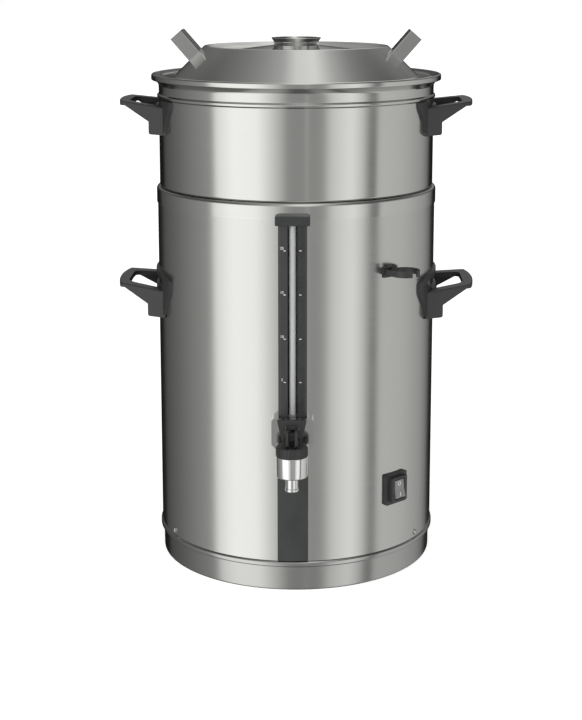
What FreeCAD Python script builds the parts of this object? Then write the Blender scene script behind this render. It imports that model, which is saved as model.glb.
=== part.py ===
import FreeCAD, Part
import math
import os

# Brewing urn, millimetres. Origin on the urn's axis at the underside of the base ring, +Z up.
# The tap and the gauge face -Y, the handles stand at +X and -X, the switch sits 45 degrees to the right.

V = FreeCAD.Vector
UP = V(0, 0, 1)

# Sheet thicknesses and general clearances
jacket_wall = 1.2
tank_wall = 1.0
vessel_wall = 1.0
lid_wall = 1.0
touch_gap = 0.3
running_gap = 0.05
seat_gap = 0.15
skin_gap = 0.02
join_lap = 1.0
beyond = 900.0

# Outer jacket and its rolled top ring
jacket_r = 184.0
top_ring_z = 499.0
top_ring_wall = 1.2
top_ring_roll = 4.0
top_ring_low_z = top_ring_z - 20.5
jacket_top_z = top_ring_z - 4.0

# Base ring
base_r = jacket_r - 2.2
base_floor_width = 17.8
base_floor_inner_r = base_r - base_floor_width
base_edge_fillet = 2.5
base_taper = 0.4
bead_low_z = 31.5
bead_high_z = 40.0
bead_stand = 2.0
bead_r = jacket_r + bead_stand
bead_fillet = 1.6
upstand_high_z = 58.0

# Inner tank
tank_inner_r = jacket_r - 14.0
tank_floor_z = 214.0
tank_floor_flat_r = tank_inner_r - 20.0
tank_edge_z = tank_floor_z + 9.0
tank_corner = 6.0

# Insulation
insulation_low_z = 236.0
insulation_high_z = 470.0
insulation_under_screws = 4.7

# Screws that hold the jacket and the base plate
jacket_screw_z = 46.0
jacket_screw_head_r = 3.6
jacket_screw_head_h = 2.2
jacket_screw_r = 2.0
jacket_screw_length = 9.0
jacket_screw_angles = (60.0, 120.0, 180.0, 240.0, 300.0)
screw_slot_half = 0.4
plate_wall = 1.5
plate_lap = 10.0
plate_r = base_floor_inner_r + plate_lap
plate_screw_count = 6
plate_screw_ring_r = base_floor_inner_r + plate_lap / 2
plate_slot_count = 10
plate_slot_ring_r = 120.0
plate_slot_length = 40.0
plate_slot_width = 6.0

# Heater under the tank
spreader_r = tank_inner_r - 50.0
spreader_h = 3.0
element_ring_r = 84.0
element_tube_r = 4.2
element_gap_deg = 24.0
element_leg_drop = 22.0
clamp_length = 2 * spreader_r - 40.0
clamp_width = 26.0
clamp_h = 3.0
clamp_stud_r = 4.0
clamp_stud_drop = 16.0
clamp_nut_af = 13.0
clamp_nut_h = 6.5
sensor_r = 9.0
sensor_h = 11.0
sensor_ring_r = 48.0
blade_wall = 0.8
blade_half_width = 2.4
blade_length = 7.0
sensor_blade_x = 3.8
block_length = 52.0
block_width = 22.0
block_height = 18.0
block_place_y = 60.0
terminal_count = 4
terminal_r = 3.0
terminal_depth = 7.0

# Tap
tap_y = -jacket_r - 48.0
cup_r = 19.6
cup_bore_r = 16.6
cup_low_z = 169.0
cup_high_z = 195.5
cup_floor = 4.0
cup_fillet = 2.0
nozzle_r = 7.6
nozzle_bore_r = 5.4
nozzle_low_z = 150.0
nozzle_lip_r = 8.3
nozzle_lip_h = 3.6
nozzle_lip_fillet = 1.2
valve_seat_h = 1.6
valve_seat_width = 1.4
shank_z = 183.0
shank_r = 9.0
shank_bore_r = 6.0
shank_collar_width = 3.0
shank_end_y = -tank_inner_r + 12.0
bonnet_r = 19.7
bonnet_high_z = 208.0
bonnet_fillet = 1.5
bonnet_rib_count = 30
bonnet_rib_r = 0.9
bonnet_rib_drop = 2.0
bonnet_skirt_h = 7.0
bonnet_bore_r = 10.0
bonnet_roof = 4.5
stem_r = 3.0
pin_z = 219.6
pin_r = 1.75
pin_overhang = 1.6
stem_head_width = 7.0
stem_head_below = 5.2
stem_head_above = 4.4
stem_head_fillet = 2.6
stem_collar_h = 1.5
stem_in_cup = 5.0
lever_lift = 4.0
lever_swing_deg = 30.0
fork_inner = 4.0
fork_wall = 3.2
fork_step = 1.5
fork_hub_share = 0.62
cam_gap = 0.3
lever_top_z = 240.5
lever_top_half = 18.3
lever_low_half = 11.8
lever_low_z = 212.2
lever_thick = 4.5
lever_corner = 1.6
window_side = 2.2
window_above_pin = 12.0
bridge_low = 9.5
bridge_high = 14.0
seat_cup_r = 8.6
seat_cup_h = 8.0
seat_cup_fillet = 1.5
spring_r = 7.2
spring_wire_r = 0.6
spring_turn_count = 5
gasket_h = 1.5
lock_nut_af = 27.0
lock_nut_h = 7.0
elbow_y = shank_end_y + 18.0
elbow_r = 8.0
elbow_bend = 12.0

# Block between the jacket, the gauge and the tap
block_front_y = -jacket_r - 22.0
block_high_z = 234.0
block_half = 26.0
block_corner = 4.5
block_edge = 2.0
block_neck_z = 201.0
block_neck_drop = 8.0
block_low_half = 19.3
block_low_z = 168.0
gauge_port_below = 7.2
strip_width = 38.7
strip_wall = 1.6
strip_low_z = bead_high_z + 0.6

# Level gauge
gauge_half = 17.75
gauge_front_y = -jacket_r - 15.0
gauge_slot_half = 6.0
gauge_corner = 3.5
gauge_chamfer = 1.5
gauge_back_wall = 1.05
gauge_top_z = top_ring_z - 25.0
gauge_back_gap = 0.15
tube_y = -jacket_r - 8.3
tube_r = 4.5
tube_bore_r = 3.0
tube_socket = 4.0
cap_half = 21.5
cap_front_y = -jacket_r - 18.0
cap_high_z = gauge_top_z + 12.0
cap_fillet = 1.6
cap_pocket = 7.0
seal_h = 5.0
seal_low_h = 2.0
seal_wall = 1.5
gauge_port_r = 4.0
gauge_port_wall = 1.5

# Plug holder clip
clip_az = 43.6
clip_centre_r = jacket_r + 19.0
clip_ring_r = 18.0
clip_wall = 2.2
clip_low_z = 403.2
clip_high_z = 410.7
clip_tab_low_z = clip_low_z - 3.0
clip_tab_high_z = clip_high_z + 3.0
clip_tab_deg = 4.6
clip_tab_turn_deg = 1.2
clip_gap_deg = 26.0
clip_gap_at_deg = -3.0

# Switch
switch_az = 45.0
switch_z = 120.8
switch_width = 38.0
switch_height = 40.4
switch_stand = 3.7
switch_corner = 2.0
switch_seat_depth = 4.9
collar_width = 27.5
collar_height = 32.5
collar_h = 5.6
collar_corner = 1.5
rocker_width = 17.5
rocker_height = 25.0
rocker_depth = 9.0
rocker_end_gap = 0.9
rocker_crown = 0.6
rocker_corner = 0.8
rocker_foot_in = 4.5
rocker_foot_up = 2.5
rocker_pivot_depth = 2.2
rocker_tilt_deg = 9.0
rocker_pin_r = 1.5
rocker_pin_length = 2.2
switch_body_depth = 24.9
switch_body_width = 24.0
switch_body_height = 30.0
switch_blade_pitch = 6.0

# Mains inlet at the rear
inlet_z = 84.0
inlet_plate_width = 48.0
inlet_plate_height = 28.0
inlet_plate_h = 3.5
inlet_plate_corner = 4.0
inlet_seat_y = jacket_r - 3.0
inlet_body_width = 27.0
inlet_body_height = 21.0
inlet_body_depth = 24.0
inlet_socket_width = 24.4
inlet_socket_height = 16.6
inlet_socket_depth = 16.0
inlet_socket_chamfer = 5.0
inlet_socket_corner = 1.5
inlet_pin_pitch = 7.0
inlet_pin_half_width = 1.0
inlet_pin_half_height = 2.0
inlet_pin_step = 1.8
inlet_pin_setback = 3.0
inlet_screw_pitch = 40.0
inlet_screw_r = 1.6
inlet_screw_head_r = 3.0
inlet_screw_head_h = 1.8
inlet_screw_length = 9.0

# Handles: side profile of the lower pair, plan and mounting flange
handle_tip_r = jacket_r + 52.5
handle_tip_z = 374.8
handle_top_slope = 0.13
handle_tip_h = 6.4
handle_tip_step = 11.5
handle_leg_x = jacket_r + 9.5
handle_leg_z = 348.0
handle_low_z = 331.6
handle_low_slope = 1.6
handle_shell_half = 73.6
handle_tip_half = 51.0
handle_corner = 5.0
handle_wall = 5.0
handle_roof = 6.0
handle_roof_setback = 15.0
handle_edge_fillet = 2.2
grip_rim = 14.5
grip_hole_half_tip = 36.0
grip_hole_half_shell = 56.0
grip_hole_corner = 17.0
flange_wall = 3.3
flange_low_z = 329.8
flange_high_z = 391.0
flange_foot_half = 70.5
flange_waist_half = 78.0
flange_waist_rise = 14.0
flange_half = 94.0
flange_half_rise = 38.0
flange_crown_half = 66.0
flange_shoulder_drop = 8.0
flange_crown_drop = 1.5
flange_window_low_half = 44.0
flange_window_half = 76.0
flange_window_side = 64.0
flange_window_side_rise = 5.5
flange_window_top_half = 58.0
flange_window_drop = 9.0
handle_boss_r = 6.5
handle_screw_deg = 14.0
handle_screw_z = 342.0
handle_screw_r = 2.5
handle_screw_head_r = 5.0
handle_screw_head_h = 2.6
handle_screw_length = 12.0
upper_handle_rise = 239.3
upper_flange_drop = 1.2
upper_handle_inset = 5.0

# Brewing vessel
vessel_r = jacket_r - 3.1
vessel_foot_fillet = 4.0
spigot_gap = 0.6
spigot_r = tank_inner_r - spigot_gap
spigot_corner = 0.4
spigot_low_z = top_ring_z - 11.0
spigot_fillet = 5.0
vessel_floor_z = spigot_low_z - 14.0
spout_r = 11.0
spout_low_z = vessel_floor_z - 12.0
vessel_bead_low_z = 614.8
vessel_bead_h = 5.4
vessel_bead_stand = 2.1
bead_foot = 0.6
bead_edge = 1.2
rim_low_z = 637.8
rim_high_z = 646.0
rim_r = vessel_r + 9.5
rim_inner_r = vessel_r + 5.9
rim_lip_inset = 5.0
rim_lip_rise = 0.9
flare_low_z = rim_low_z - 5.8
flare_fillet = 5.0
flare_lap = 4.5

# Brew basket, its grid and the mixing tube
basket_r = vessel_r - 14.4
basket_wall = 0.8
basket_rim_z = rim_high_z - 4.4
basket_rim_r = vessel_r - 2.3
basket_edge_r = vessel_r + 1.0
basket_edge_z = basket_rim_z - 4.9
basket_low_z = 520.0
basket_ledge_r = basket_r - 10.5
basket_foot_fillet = 3.0
grid_wall = 1.2
grid_hole_r = 3.0
grid_pitch = 17.0
grid_row_count = 9
grid_edge = 2.0
mixing_low_z = tank_floor_z + 18.0
mixing_wall = 1.0
mixing_overlap = 8.0
mixing_port_half = 3.0
mixing_port_h = 9.0

# Lid
lid_flange_r = basket_rim_r - 0.6
lid_flange_z = basket_rim_z + 1.1
lid_lip_z = lid_flange_z + 1.7
lid_lip_inset = 1.2
cone_base_r = lid_flange_r - 17.6
cone_base_fillet = 2.0
cone_top_r = cone_base_r - 40.6
cone_top_z = lid_flange_z + 39.9
cone_top_fillet = 3.0
dish_r = cone_top_r - 7.8
dish_z = cone_top_z - 5.2
dish_fillet = 3.5
plateau_r = 77.0
plateau_z = dish_z - 0.7
plateau_fillet = 12.0
neck_r = 29.6
neck_z = plateau_z + 5.3
collar_foot = 4.0
collar_mouth_r = neck_r + 3.2
collar_mouth_z = neck_z + 9.5
collar_flare_z = neck_z + 5.0
collar_flare_fillet = 3.0
grip_sheet = 1.5
grip_width = 19.5
grip_height = 37.0
grip_depth = 40.0
grip_corner = 2.4
grip_foot_r = cone_top_r + 12.0
grip_foot_z = cone_top_z - 14.0
grip_lean_deg = 41.1
grip_sink = 14.0
spray_r = 88.0
spray_z = plateau_z - 12.7
spray_edge = 2.0
spray_lip_h = 4.0
spray_hole_r = 1.8
spray_rings = ((20.0, 8), (40.0, 14), (58.0, 20), (76.0, 26))
spray_stud_r = 3.0
spray_stud_ring_r = 62.0
spray_stud_count = 3

parts = {}


def offset_path(path, wall):
    """The path moved wall to its left, with its corner radii kept concentric."""
    moved = []
    count = len(path)
    for i in range(count):
        x, y, fillet = path[i]
        sides = []
        if i > 0:
            sides.append((x - path[i - 1][0], y - path[i - 1][1]))
        if i < count - 1:
            sides.append((path[i + 1][0] - x, path[i + 1][1] - y))
        normals = []
        for dx, dy in sides:
            size = math.hypot(dx, dy)
            normals.append((-dy / size, dx / size))
        if len(normals) == 1:
            nx, ny = normals[0]
            moved.append((x + nx * wall, y + ny * wall, 0.0))
            continue
        (ax, ay), (bx, by) = normals
        scale = wall / (1.0 + ax * bx + ay * by)
        turn = sides[0][0] * sides[1][1] - sides[0][1] * sides[1][0]
        if fillet > 0.0:
            fillet = max(fillet - wall, 0.0) if turn > 0.0 else fillet + wall
        moved.append((x + (ax + bx) * scale, y + (ay + by) * scale, fillet))
    return moved


def rounded_wire(outline, place):
    """A closed wire through (x, y, corner radius) points, put in space by place(x, y)."""
    edges = []
    count = len(outline)
    ends = []
    for i in range(count):
        x, y, fillet = outline[i]
        px, py = outline[i - 1][0], outline[i - 1][1]
        nx, ny = outline[(i + 1) % count][0], outline[(i + 1) % count][1]
        if fillet <= 0.0:
            ends.append(((x, y), (x, y), None))
            continue
        back = (px - x, py - y)
        ahead = (nx - x, ny - y)
        back_size = math.hypot(*back)
        ahead_size = math.hypot(*ahead)
        u = (back[0] / back_size, back[1] / back_size)
        w = (ahead[0] / ahead_size, ahead[1] / ahead_size)
        half = math.acos(max(-1.0, min(1.0, u[0] * w[0] + u[1] * w[1]))) / 2.0
        if math.cos(half) < 1e-6:
            ends.append(((x, y), (x, y), None))
            continue
        run = fillet / math.tan(half)
        mid_size = math.hypot(u[0] + w[0], u[1] + w[1])
        out = fillet / math.sin(half) - fillet
        mid = (x + (u[0] + w[0]) / mid_size * out, y + (u[1] + w[1]) / mid_size * out)
        ends.append(((x + u[0] * run, y + u[1] * run), (x + w[0] * run, y + w[1] * run), mid))
    for i in range(count):
        start, end, mid = ends[i]
        if mid is not None:
            edges.append(Part.Arc(place(*start), place(*mid), place(*end)).toShape())
        following = ends[(i + 1) % count][0]
        if math.hypot(following[0] - end[0], following[1] - end[1]) > 1e-6:
            edges.append(Part.LineSegment(place(*end), place(*following)).toShape())
    return Part.Wire(edges)


def turned(outline):
    """A solid of revolution about the urn's axis from a closed (radius, height, fillet) outline."""
    face = Part.Face(rounded_wire(outline, lambda r, z: V(r, 0, z)))
    return face.revolve(V(0, 0, 0), UP, 360)


def turned_sheet(path, wall):
    """A turned sheet: the path is one skin, the other lies wall to the left of its direction."""
    other = offset_path(path, wall)
    outline = [tuple(point) for point in path] + list(reversed(other))
    outline[0] = (outline[0][0], outline[0][1], 0.0)
    outline[len(path) - 1] = (path[-1][0], path[-1][1], 0.0)
    return turned(outline)


def disc(r, z0, z1, x=0.0, y=0.0):
    """An upright cylinder between two heights."""
    return Part.makeCylinder(r, z1 - z0, V(x, y, z0))


def ring(r_out, r_in, z0, z1, x=0.0, y=0.0):
    """An upright tube between two heights."""
    return disc(r_out, z0, z1, x, y).cut(bore_z(r_in, x, y))


def bore_z(r, x=0.0, y=0.0):
    """An upright cylinder that goes right through everything."""
    return disc(r, -beyond, beyond, x, y)


def block(x0, x1, y0, y1, z0, z1):
    """A box between two corners."""
    return Part.makeBox(x1 - x0, y1 - y0, z1 - z0, V(x0, y0, z0))


def rod_y(r, y0, y1, x, z):
    """A round bar along Y."""
    return Part.makeCylinder(r, y1 - y0, V(x, y0, z), V(0, 1, 0))


def rod_x(r, x0, x1, y, z):
    """A round bar along X."""
    return Part.makeCylinder(r, x1 - x0, V(x0, y, z), V(1, 0, 0))


def prism_z(outline, z0, z1):
    """An upright prism on an (x, y, fillet) outline."""
    face = Part.Face(rounded_wire(outline, lambda x, y: V(x, y, z0)))
    return face.extrude(V(0, 0, z1 - z0))


def prism_y(outline, y0, y1):
    """A prism along Y on an (x, z, fillet) outline."""
    face = Part.Face(rounded_wire(outline, lambda x, z: V(x, y0, z)))
    return face.extrude(V(0, y1 - y0, 0))


def prism_x(outline, x0, x1):
    """A prism along X on a (y, z, fillet) outline."""
    face = Part.Face(rounded_wire(outline, lambda y, z: V(x0, y, z)))
    return face.extrude(V(x1 - x0, 0, 0))


def nut(across, bore, height):
    """A hexagon nut standing on the origin."""
    corner = across / math.sqrt(3.0)
    points = [(corner * math.cos(math.radians(60 * k)), corner * math.sin(math.radians(60 * k)), 0.0)
              for k in range(6)]
    return prism_z(points, 0.0, height).cut(bore_z(bore))


def about_axis(shape, degrees):
    """A copy turned about the urn's axis."""
    copy = shape.copy()
    copy.rotate(V(0, 0, 0), UP, degrees)
    return copy


def lifted(shape, height):
    """A copy moved straight up."""
    copy = shape.copy()
    copy.translate(V(0, 0, height))
    return copy


def at_front(shape, azimuth):
    """A piece drawn in front of the urn at -Y, brought to its azimuth to the right."""
    return about_axis(shape, azimuth)


def wedge(degrees):
    """An upright slice of the given angle from the axis outwards, centred on -Y."""
    half = math.radians(degrees / 2)
    return prism_z([(0.0, 0.0, 0.0),
                    (-beyond * math.sin(half), -beyond * math.cos(half), 0.0),
                    (beyond * math.sin(half), -beyond * math.cos(half), 0.0)], -beyond, beyond)


def upright_edges(shape):
    """The edges of a block that run from front to back."""
    return [edge for edge in shape.Edges if abs(edge.Vertexes[0].Y - edge.Vertexes[-1].Y) > join_lap]


def pan_screw(head_r, head_h, shank, length):
    """A pan head screw along Y: the head's seat is at the origin, the shank runs to +Y."""
    head = Part.makeCylinder(head_r, head_h, V(0, -head_h, 0), V(0, 1, 0))
    rim = [edge for edge in head.Edges if abs(edge.CenterOfMass.y + head_h) < 1e-6]
    head = head.makeFillet(head_h * 0.45, rim)
    reach = head_r * 0.6
    slot = block(-screw_slot_half, screw_slot_half, -beyond, -head_h * 0.6, -reach, reach)
    cross = block(-reach, reach, -beyond, -head_h * 0.6, -screw_slot_half, screw_slot_half)
    body = Part.makeCylinder(shank, length, V(0, 0, 0), V(0, 1, 0))
    return head.fuse(body).cut(slot).cut(cross)


def joined(pieces):
    """One solid from pieces that overlap."""
    shape = pieces[0]
    for piece in pieces[1:]:
        shape = shape.fuse(piece)
    return shape.removeSplitter()


def arc_between(start, corner, end):
    """The circular arc that leaves start towards corner and arrives at end from it."""
    middle = (start + end) * 0.5
    half_chord = (end - start).Length / 2.0
    angle = math.acos(min(1.0, half_chord / (corner - start).Length))
    crown = middle + (corner - middle) * (math.tan(angle / 2.0) / math.tan(angle))
    return Part.Arc(start, crown, end).toShape()


def coil_path(radius, pitch, turns, x, y, z):
    """A rising coil about an upright line, as two arcs to each quarter turn."""
    edges = []
    rise = pitch / (2.0 * math.pi)
    slope = math.hypot(radius, rise)
    for k in range(4 * turns):
        points = []
        tangents = []
        for angle in (k * math.pi / 2.0, (k + 1) * math.pi / 2.0):
            points.append(V(x + radius * math.cos(angle), y + radius * math.sin(angle), z + rise * angle))
            tangents.append(V(-radius * math.sin(angle), radius * math.cos(angle), rise) * (1.0 / slope))
        span = points[1] - points[0]
        both = tangents[0] + tangents[1]
        bend = 2.0 * (1.0 - tangents[0].dot(tangents[1]))
        along = span.dot(both)
        reach = (-along + math.sqrt(along ** 2 + bend * span.dot(span))) / bend
        corners = [points[0] + tangents[0] * reach, points[1] - tangents[1] * reach]
        join = (corners[0] + corners[1]) * 0.5
        edges.append(arc_between(points[0], corners[0], join))
        edges.append(arc_between(join, corners[1], points[1]))
    return Part.Wire(edges)


# Base ring: floor flange, skirt, bead and the upstand inside the jacket
upstand_r = jacket_r - jacket_wall - seat_gap
base_path = [
    (base_floor_inner_r, 0.0, 0.0),
    (base_r, 0.0, base_edge_fillet),
    (base_r + base_taper, bead_low_z, bead_fillet / 2),
    (bead_r, bead_low_z + bead_fillet, bead_fillet),
    (bead_r, bead_high_z - bead_fillet, bead_fillet),
    (upstand_r, bead_high_z, 0.0),
    (upstand_r, upstand_high_z, 0.0),
]
base_ring = turned_sheet(base_path, jacket_wall)
base_plate_z = jacket_wall


def drilled(shape, azimuths, r, z, outside=beyond):
    """Radial holes through a shell at the given azimuths and height, from outside inwards."""
    for azimuth in azimuths:
        hole = rod_y(r, -outside, -tank_inner_r, 0.0, z)
        shape = shape.cut(at_front(hole, azimuth))
    return shape


base_ring = drilled(base_ring, jacket_screw_angles, jacket_screw_r + running_gap, jacket_screw_z)
plate_screw_step = 360.0 / plate_screw_count
plate_screw_hole = disc(jacket_screw_r + running_gap, -beyond, bead_low_z, plate_screw_ring_r, 0.0)
for k in range(plate_screw_count):
    base_ring = base_ring.cut(about_axis(plate_screw_hole, plate_screw_step * k + plate_screw_step / 2))
parts["base_ring"] = base_ring

# Base plate with vent slots, lying on the floor flange inside the ring
base_plate = disc(plate_r, base_plate_z, base_plate_z + plate_wall)
slot_shape = joined([
    block(-plate_slot_width / 2, plate_slot_width / 2, plate_slot_ring_r - plate_slot_length / 2,
          plate_slot_ring_r + plate_slot_length / 2, -beyond, beyond),
    bore_z(plate_slot_width / 2, 0.0, plate_slot_ring_r - plate_slot_length / 2),
    bore_z(plate_slot_width / 2, 0.0, plate_slot_ring_r + plate_slot_length / 2),
])
for k in range(plate_slot_count):
    base_plate = base_plate.cut(about_axis(slot_shape, 360.0 / plate_slot_count * k))
for k in range(plate_screw_count):
    base_plate = base_plate.cut(about_axis(plate_screw_hole, plate_screw_step * k + plate_screw_step / 2))
parts["base_plate"] = base_plate

plate_screws = []
plate_screw_length = base_plate_z + plate_wall - touch_gap
plate_screw = pan_screw(jacket_screw_head_r, jacket_screw_head_h, jacket_screw_r, plate_screw_length)
plate_screw.rotate(V(0, 0, 0), V(1, 0, 0), -90)
plate_screw.translate(V(plate_screw_ring_r, 0, base_plate_z + plate_wall))
for k in range(plate_screw_count):
    plate_screws.append(about_axis(plate_screw, plate_screw_step * k + plate_screw_step / 2))
parts["base_plate_screws"] = Part.makeCompound(plate_screws)

# Outer jacket with its cut-outs
gauge_channel_z = block_high_z - gauge_port_below
jacket = ring(jacket_r, jacket_r - jacket_wall, bead_high_z + seat_gap, jacket_top_z)
jacket = drilled(jacket, jacket_screw_angles, jacket_screw_r + running_gap, jacket_screw_z)
jacket = jacket.cut(rod_y(shank_r + seat_gap, -beyond, -tank_inner_r, 0.0, shank_z))
jacket = jacket.cut(rod_y(gauge_port_r + seat_gap, -beyond, -tank_inner_r, 0.0, gauge_channel_z))
switch_hole = block(-switch_body_width / 2 - seat_gap, switch_body_width / 2 + seat_gap,
                    -beyond, -tank_inner_r,
                    switch_z - switch_body_height / 2 - seat_gap,
                    switch_z + switch_body_height / 2 + seat_gap)
jacket = jacket.cut(at_front(switch_hole, switch_az))
inlet_hole = block(-inlet_body_width / 2 - seat_gap, inlet_body_width / 2 + seat_gap,
                   tank_inner_r, beyond,
                   inlet_z - inlet_body_height / 2 - seat_gap, inlet_z + inlet_body_height / 2 + seat_gap)
jacket = jacket.cut(inlet_hole)
handle_screw_azimuths = [90 - handle_screw_deg, 90 + handle_screw_deg,
                         270 - handle_screw_deg, 270 + handle_screw_deg]
jacket = drilled(jacket, handle_screw_azimuths, handle_screw_r + running_gap, handle_screw_z)
for side in (-1, 1):
    jacket = jacket.cut(rod_y(inlet_screw_r + running_gap, tank_inner_r, beyond,
                              side * inlet_screw_pitch / 2, inlet_z))
parts["outer_jacket"] = jacket

jacket_screws = []
for azimuth in jacket_screw_angles:
    screw = pan_screw(jacket_screw_head_r, jacket_screw_head_h, jacket_screw_r, jacket_screw_length)
    screw.translate(V(0, -jacket_r - running_gap, jacket_screw_z))
    jacket_screws.append(at_front(screw, azimuth))
parts["jacket_screws"] = Part.makeCompound(jacket_screws)

# Rolled top ring that joins jacket and tank
tank_outer_r = tank_inner_r + tank_wall
top_ring_r = jacket_r + skin_gap + top_ring_wall
top_ring_path = [
    (top_ring_r, top_ring_low_z, 0.0),
    (top_ring_r, top_ring_z, top_ring_roll),
    (tank_outer_r, top_ring_z, 0.0),
]
parts["top_ring"] = turned_sheet(top_ring_path, top_ring_wall)

# Inner tank
outlet_hole = bore_z(shank_bore_r, 0.0, elbow_y)
tank_path = [
    (0.0, tank_floor_z - tank_wall, 0.0),
    (tank_floor_flat_r, tank_floor_z - tank_wall, tank_corner),
    (tank_outer_r, tank_edge_z, tank_corner),
    (tank_outer_r, top_ring_z, 0.0),
]
tank = turned_sheet(tank_path, tank_wall)
tank = tank.cut(rod_y(gauge_port_r, -beyond, 0.0, 0.0, gauge_channel_z))
parts["inner_tank"] = tank.cut(outlet_hole)

# Insulation between tank and jacket, with pockets for the lower handle screws
insulation = ring(jacket_r - jacket_wall - touch_gap, tank_outer_r + touch_gap,
                  insulation_low_z, insulation_high_z)
pocket_floor_r = tank_outer_r + touch_gap + insulation_under_screws
for azimuth in handle_screw_azimuths:
    pocket = rod_y(handle_screw_head_r + join_lap, -beyond, -pocket_floor_r, 0.0, handle_screw_z)
    insulation = insulation.cut(at_front(pocket, azimuth))
parts["insulation"] = insulation

# Heater: spreader, ring element, clamp bar with stud and nut, thermostat and cut-out
spreader_top_z = tank_floor_z - tank_wall
spreader_low_z = spreader_top_z - spreader_h
parts["heat_spreader"] = joined([
    disc(spreader_r, spreader_low_z, spreader_top_z),
    disc(clamp_stud_r, spreader_low_z - clamp_stud_drop, spreader_low_z + join_lap),
])
element_z = spreader_low_z - element_tube_r
element_half_gap = math.radians(element_gap_deg / 2)
element_start = V(element_ring_r * math.cos(element_half_gap),
                  element_ring_r * math.sin(element_half_gap), element_z)
element_end = V(element_start.x, -element_start.y, element_z)
element_arc = Part.Arc(element_start, V(-element_ring_r, 0, element_z), element_end).toShape()
element_circle = Part.Wire([Part.makeCircle(element_tube_r, element_start,
                                            V(-element_start.y, element_start.x, 0))])
element_legs = [Part.Wire([element_arc]).makePipeShell([element_circle], True, False)]
for end in (element_start, element_end):
    element_legs.append(disc(element_tube_r, element_z - element_leg_drop, element_z, end.x, end.y))
    element_legs.append(Part.makeSphere(element_tube_r, end))
parts["heating_element"] = joined(element_legs)
clamp_top_z = element_z - element_tube_r
clamp_bar = block(-clamp_width / 2, clamp_width / 2, -clamp_length / 2, clamp_length / 2,
                  clamp_top_z - clamp_h, clamp_top_z)
parts["element_clamp"] = clamp_bar.cut(bore_z(clamp_stud_r + running_gap))
clamp_nut = nut(clamp_nut_af, clamp_stud_r, clamp_nut_h)
parts["clamp_nut"] = lifted(clamp_nut, clamp_top_z - clamp_h - clamp_nut_h)
for name, azimuth in (("thermostat", 210.0), ("thermal_cutout", 330.0)):
    x = sensor_ring_r * math.cos(math.radians(azimuth))
    y = sensor_ring_r * math.sin(math.radians(azimuth))
    can = disc(sensor_r, spreader_low_z - sensor_h, spreader_low_z, x, y)
    tabs = []
    for side in (-1, 1):
        tab_x = x + side * sensor_blade_x
        tabs.append(block(tab_x - blade_wall / 2, tab_x + blade_wall / 2, y - blade_half_width, y + blade_half_width,
                          spreader_low_z - sensor_h - blade_length, spreader_low_z - sensor_h / 2))
    parts[name] = joined([can] + tabs)
plate_top_z = base_plate_z + plate_wall
block_top_z = plate_top_z + block_height
terminal_block = block(-block_length / 2, block_length / 2, block_place_y, block_place_y + block_width,
                       plate_top_z, block_top_z)
for k in range(terminal_count):
    terminal_x = -block_length / 2 + block_length / terminal_count * (k + 0.5)
    terminal_block = terminal_block.cut(disc(terminal_r, block_top_z - terminal_depth, beyond,
                                             terminal_x, block_place_y + block_width / 2))
parts["terminal_block"] = terminal_block

# Block behind the lever: carries the gauge and the tap's shank
block_outline = [
    (-block_half, block_neck_z, block_edge),
    (-block_half, block_high_z, block_corner),
    (block_half, block_high_z, block_corner),
    (block_half, block_neck_z, block_edge),
    (block_low_half, block_neck_z - block_neck_drop, block_edge),
    (block_low_half, block_low_z, block_corner / 2),
    (-block_low_half, block_low_z, block_corner / 2),
    (-block_low_half, block_neck_z - block_neck_drop, block_edge),
]
tap_block = prism_y(block_outline, block_front_y, -tank_inner_r)
tap_block = tap_block.cut(bore_z(jacket_r + skin_gap))
tap_block = tap_block.cut(rod_y(shank_r + running_gap, -beyond, 0.0, 0.0, shank_z))
tap_block = tap_block.fuse(rod_y(gauge_port_r, -jacket_r - join_lap, -tank_inner_r, 0.0, gauge_channel_z))
tap_block = tap_block.cut(disc(tube_r + running_gap, block_high_z - tube_socket, beyond, 0.0, tube_y))
tap_block = tap_block.cut(disc(tube_bore_r, gauge_channel_z, beyond, 0.0, tube_y))
tap_block = tap_block.cut(rod_y(gauge_port_r - gauge_port_wall, tube_y, -tank_inner_r, 0.0, gauge_channel_z))
parts["tap_block"] = tap_block

# Dark strip from the block down to the bead
strip = ring(jacket_r + strip_wall, jacket_r + skin_gap, strip_low_z, block_low_z)
strip = strip.common(block(-strip_width / 2, strip_width / 2, -beyond, 0.0, 0.0, beyond))
parts["front_strip"] = strip

# Tap body: cup, nozzle and shank
cup_top_z = cup_high_z
cup = disc(cup_r, cup_low_z, cup_top_z, 0.0, tap_y)
cup_edges = [edge for edge in cup.Edges if abs(edge.CenterOfMass.z - cup_low_z) < 1e-6]
cup = cup.makeFillet(cup_fillet, cup_edges)
nozzle = disc(nozzle_r, nozzle_low_z, cup_low_z + join_lap, 0.0, tap_y)
lip = disc(nozzle_lip_r, nozzle_low_z, nozzle_low_z + nozzle_lip_h, 0.0, tap_y)
lip_edges = [edge for edge in lip.Edges if edge.Length > nozzle_lip_r * 5]
lip = lip.makeFillet(nozzle_lip_fillet, lip_edges)
shank_start_y = tap_y + cup_bore_r + join_lap
shank = rod_y(shank_r, shank_start_y, shank_end_y, 0.0, shank_z)
shank_flange_r = shank_r + shank_collar_width
shank_collar = rod_y(shank_flange_r, shank_start_y, block_front_y - gasket_h, 0.0, shank_z)
tap_body = joined([cup, nozzle, lip, shank, shank_collar])
cavity_low_z = cup_low_z + cup_floor
tap_body = tap_body.cut(disc(cup_bore_r, cavity_low_z, beyond, 0.0, tap_y))
valve_seat = disc(nozzle_bore_r + valve_seat_width, cavity_low_z - join_lap, cavity_low_z + valve_seat_h, 0.0, tap_y)
tap_body = tap_body.fuse(valve_seat)
tap_body = tap_body.cut(bore_z(nozzle_bore_r, 0.0, tap_y))
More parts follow.
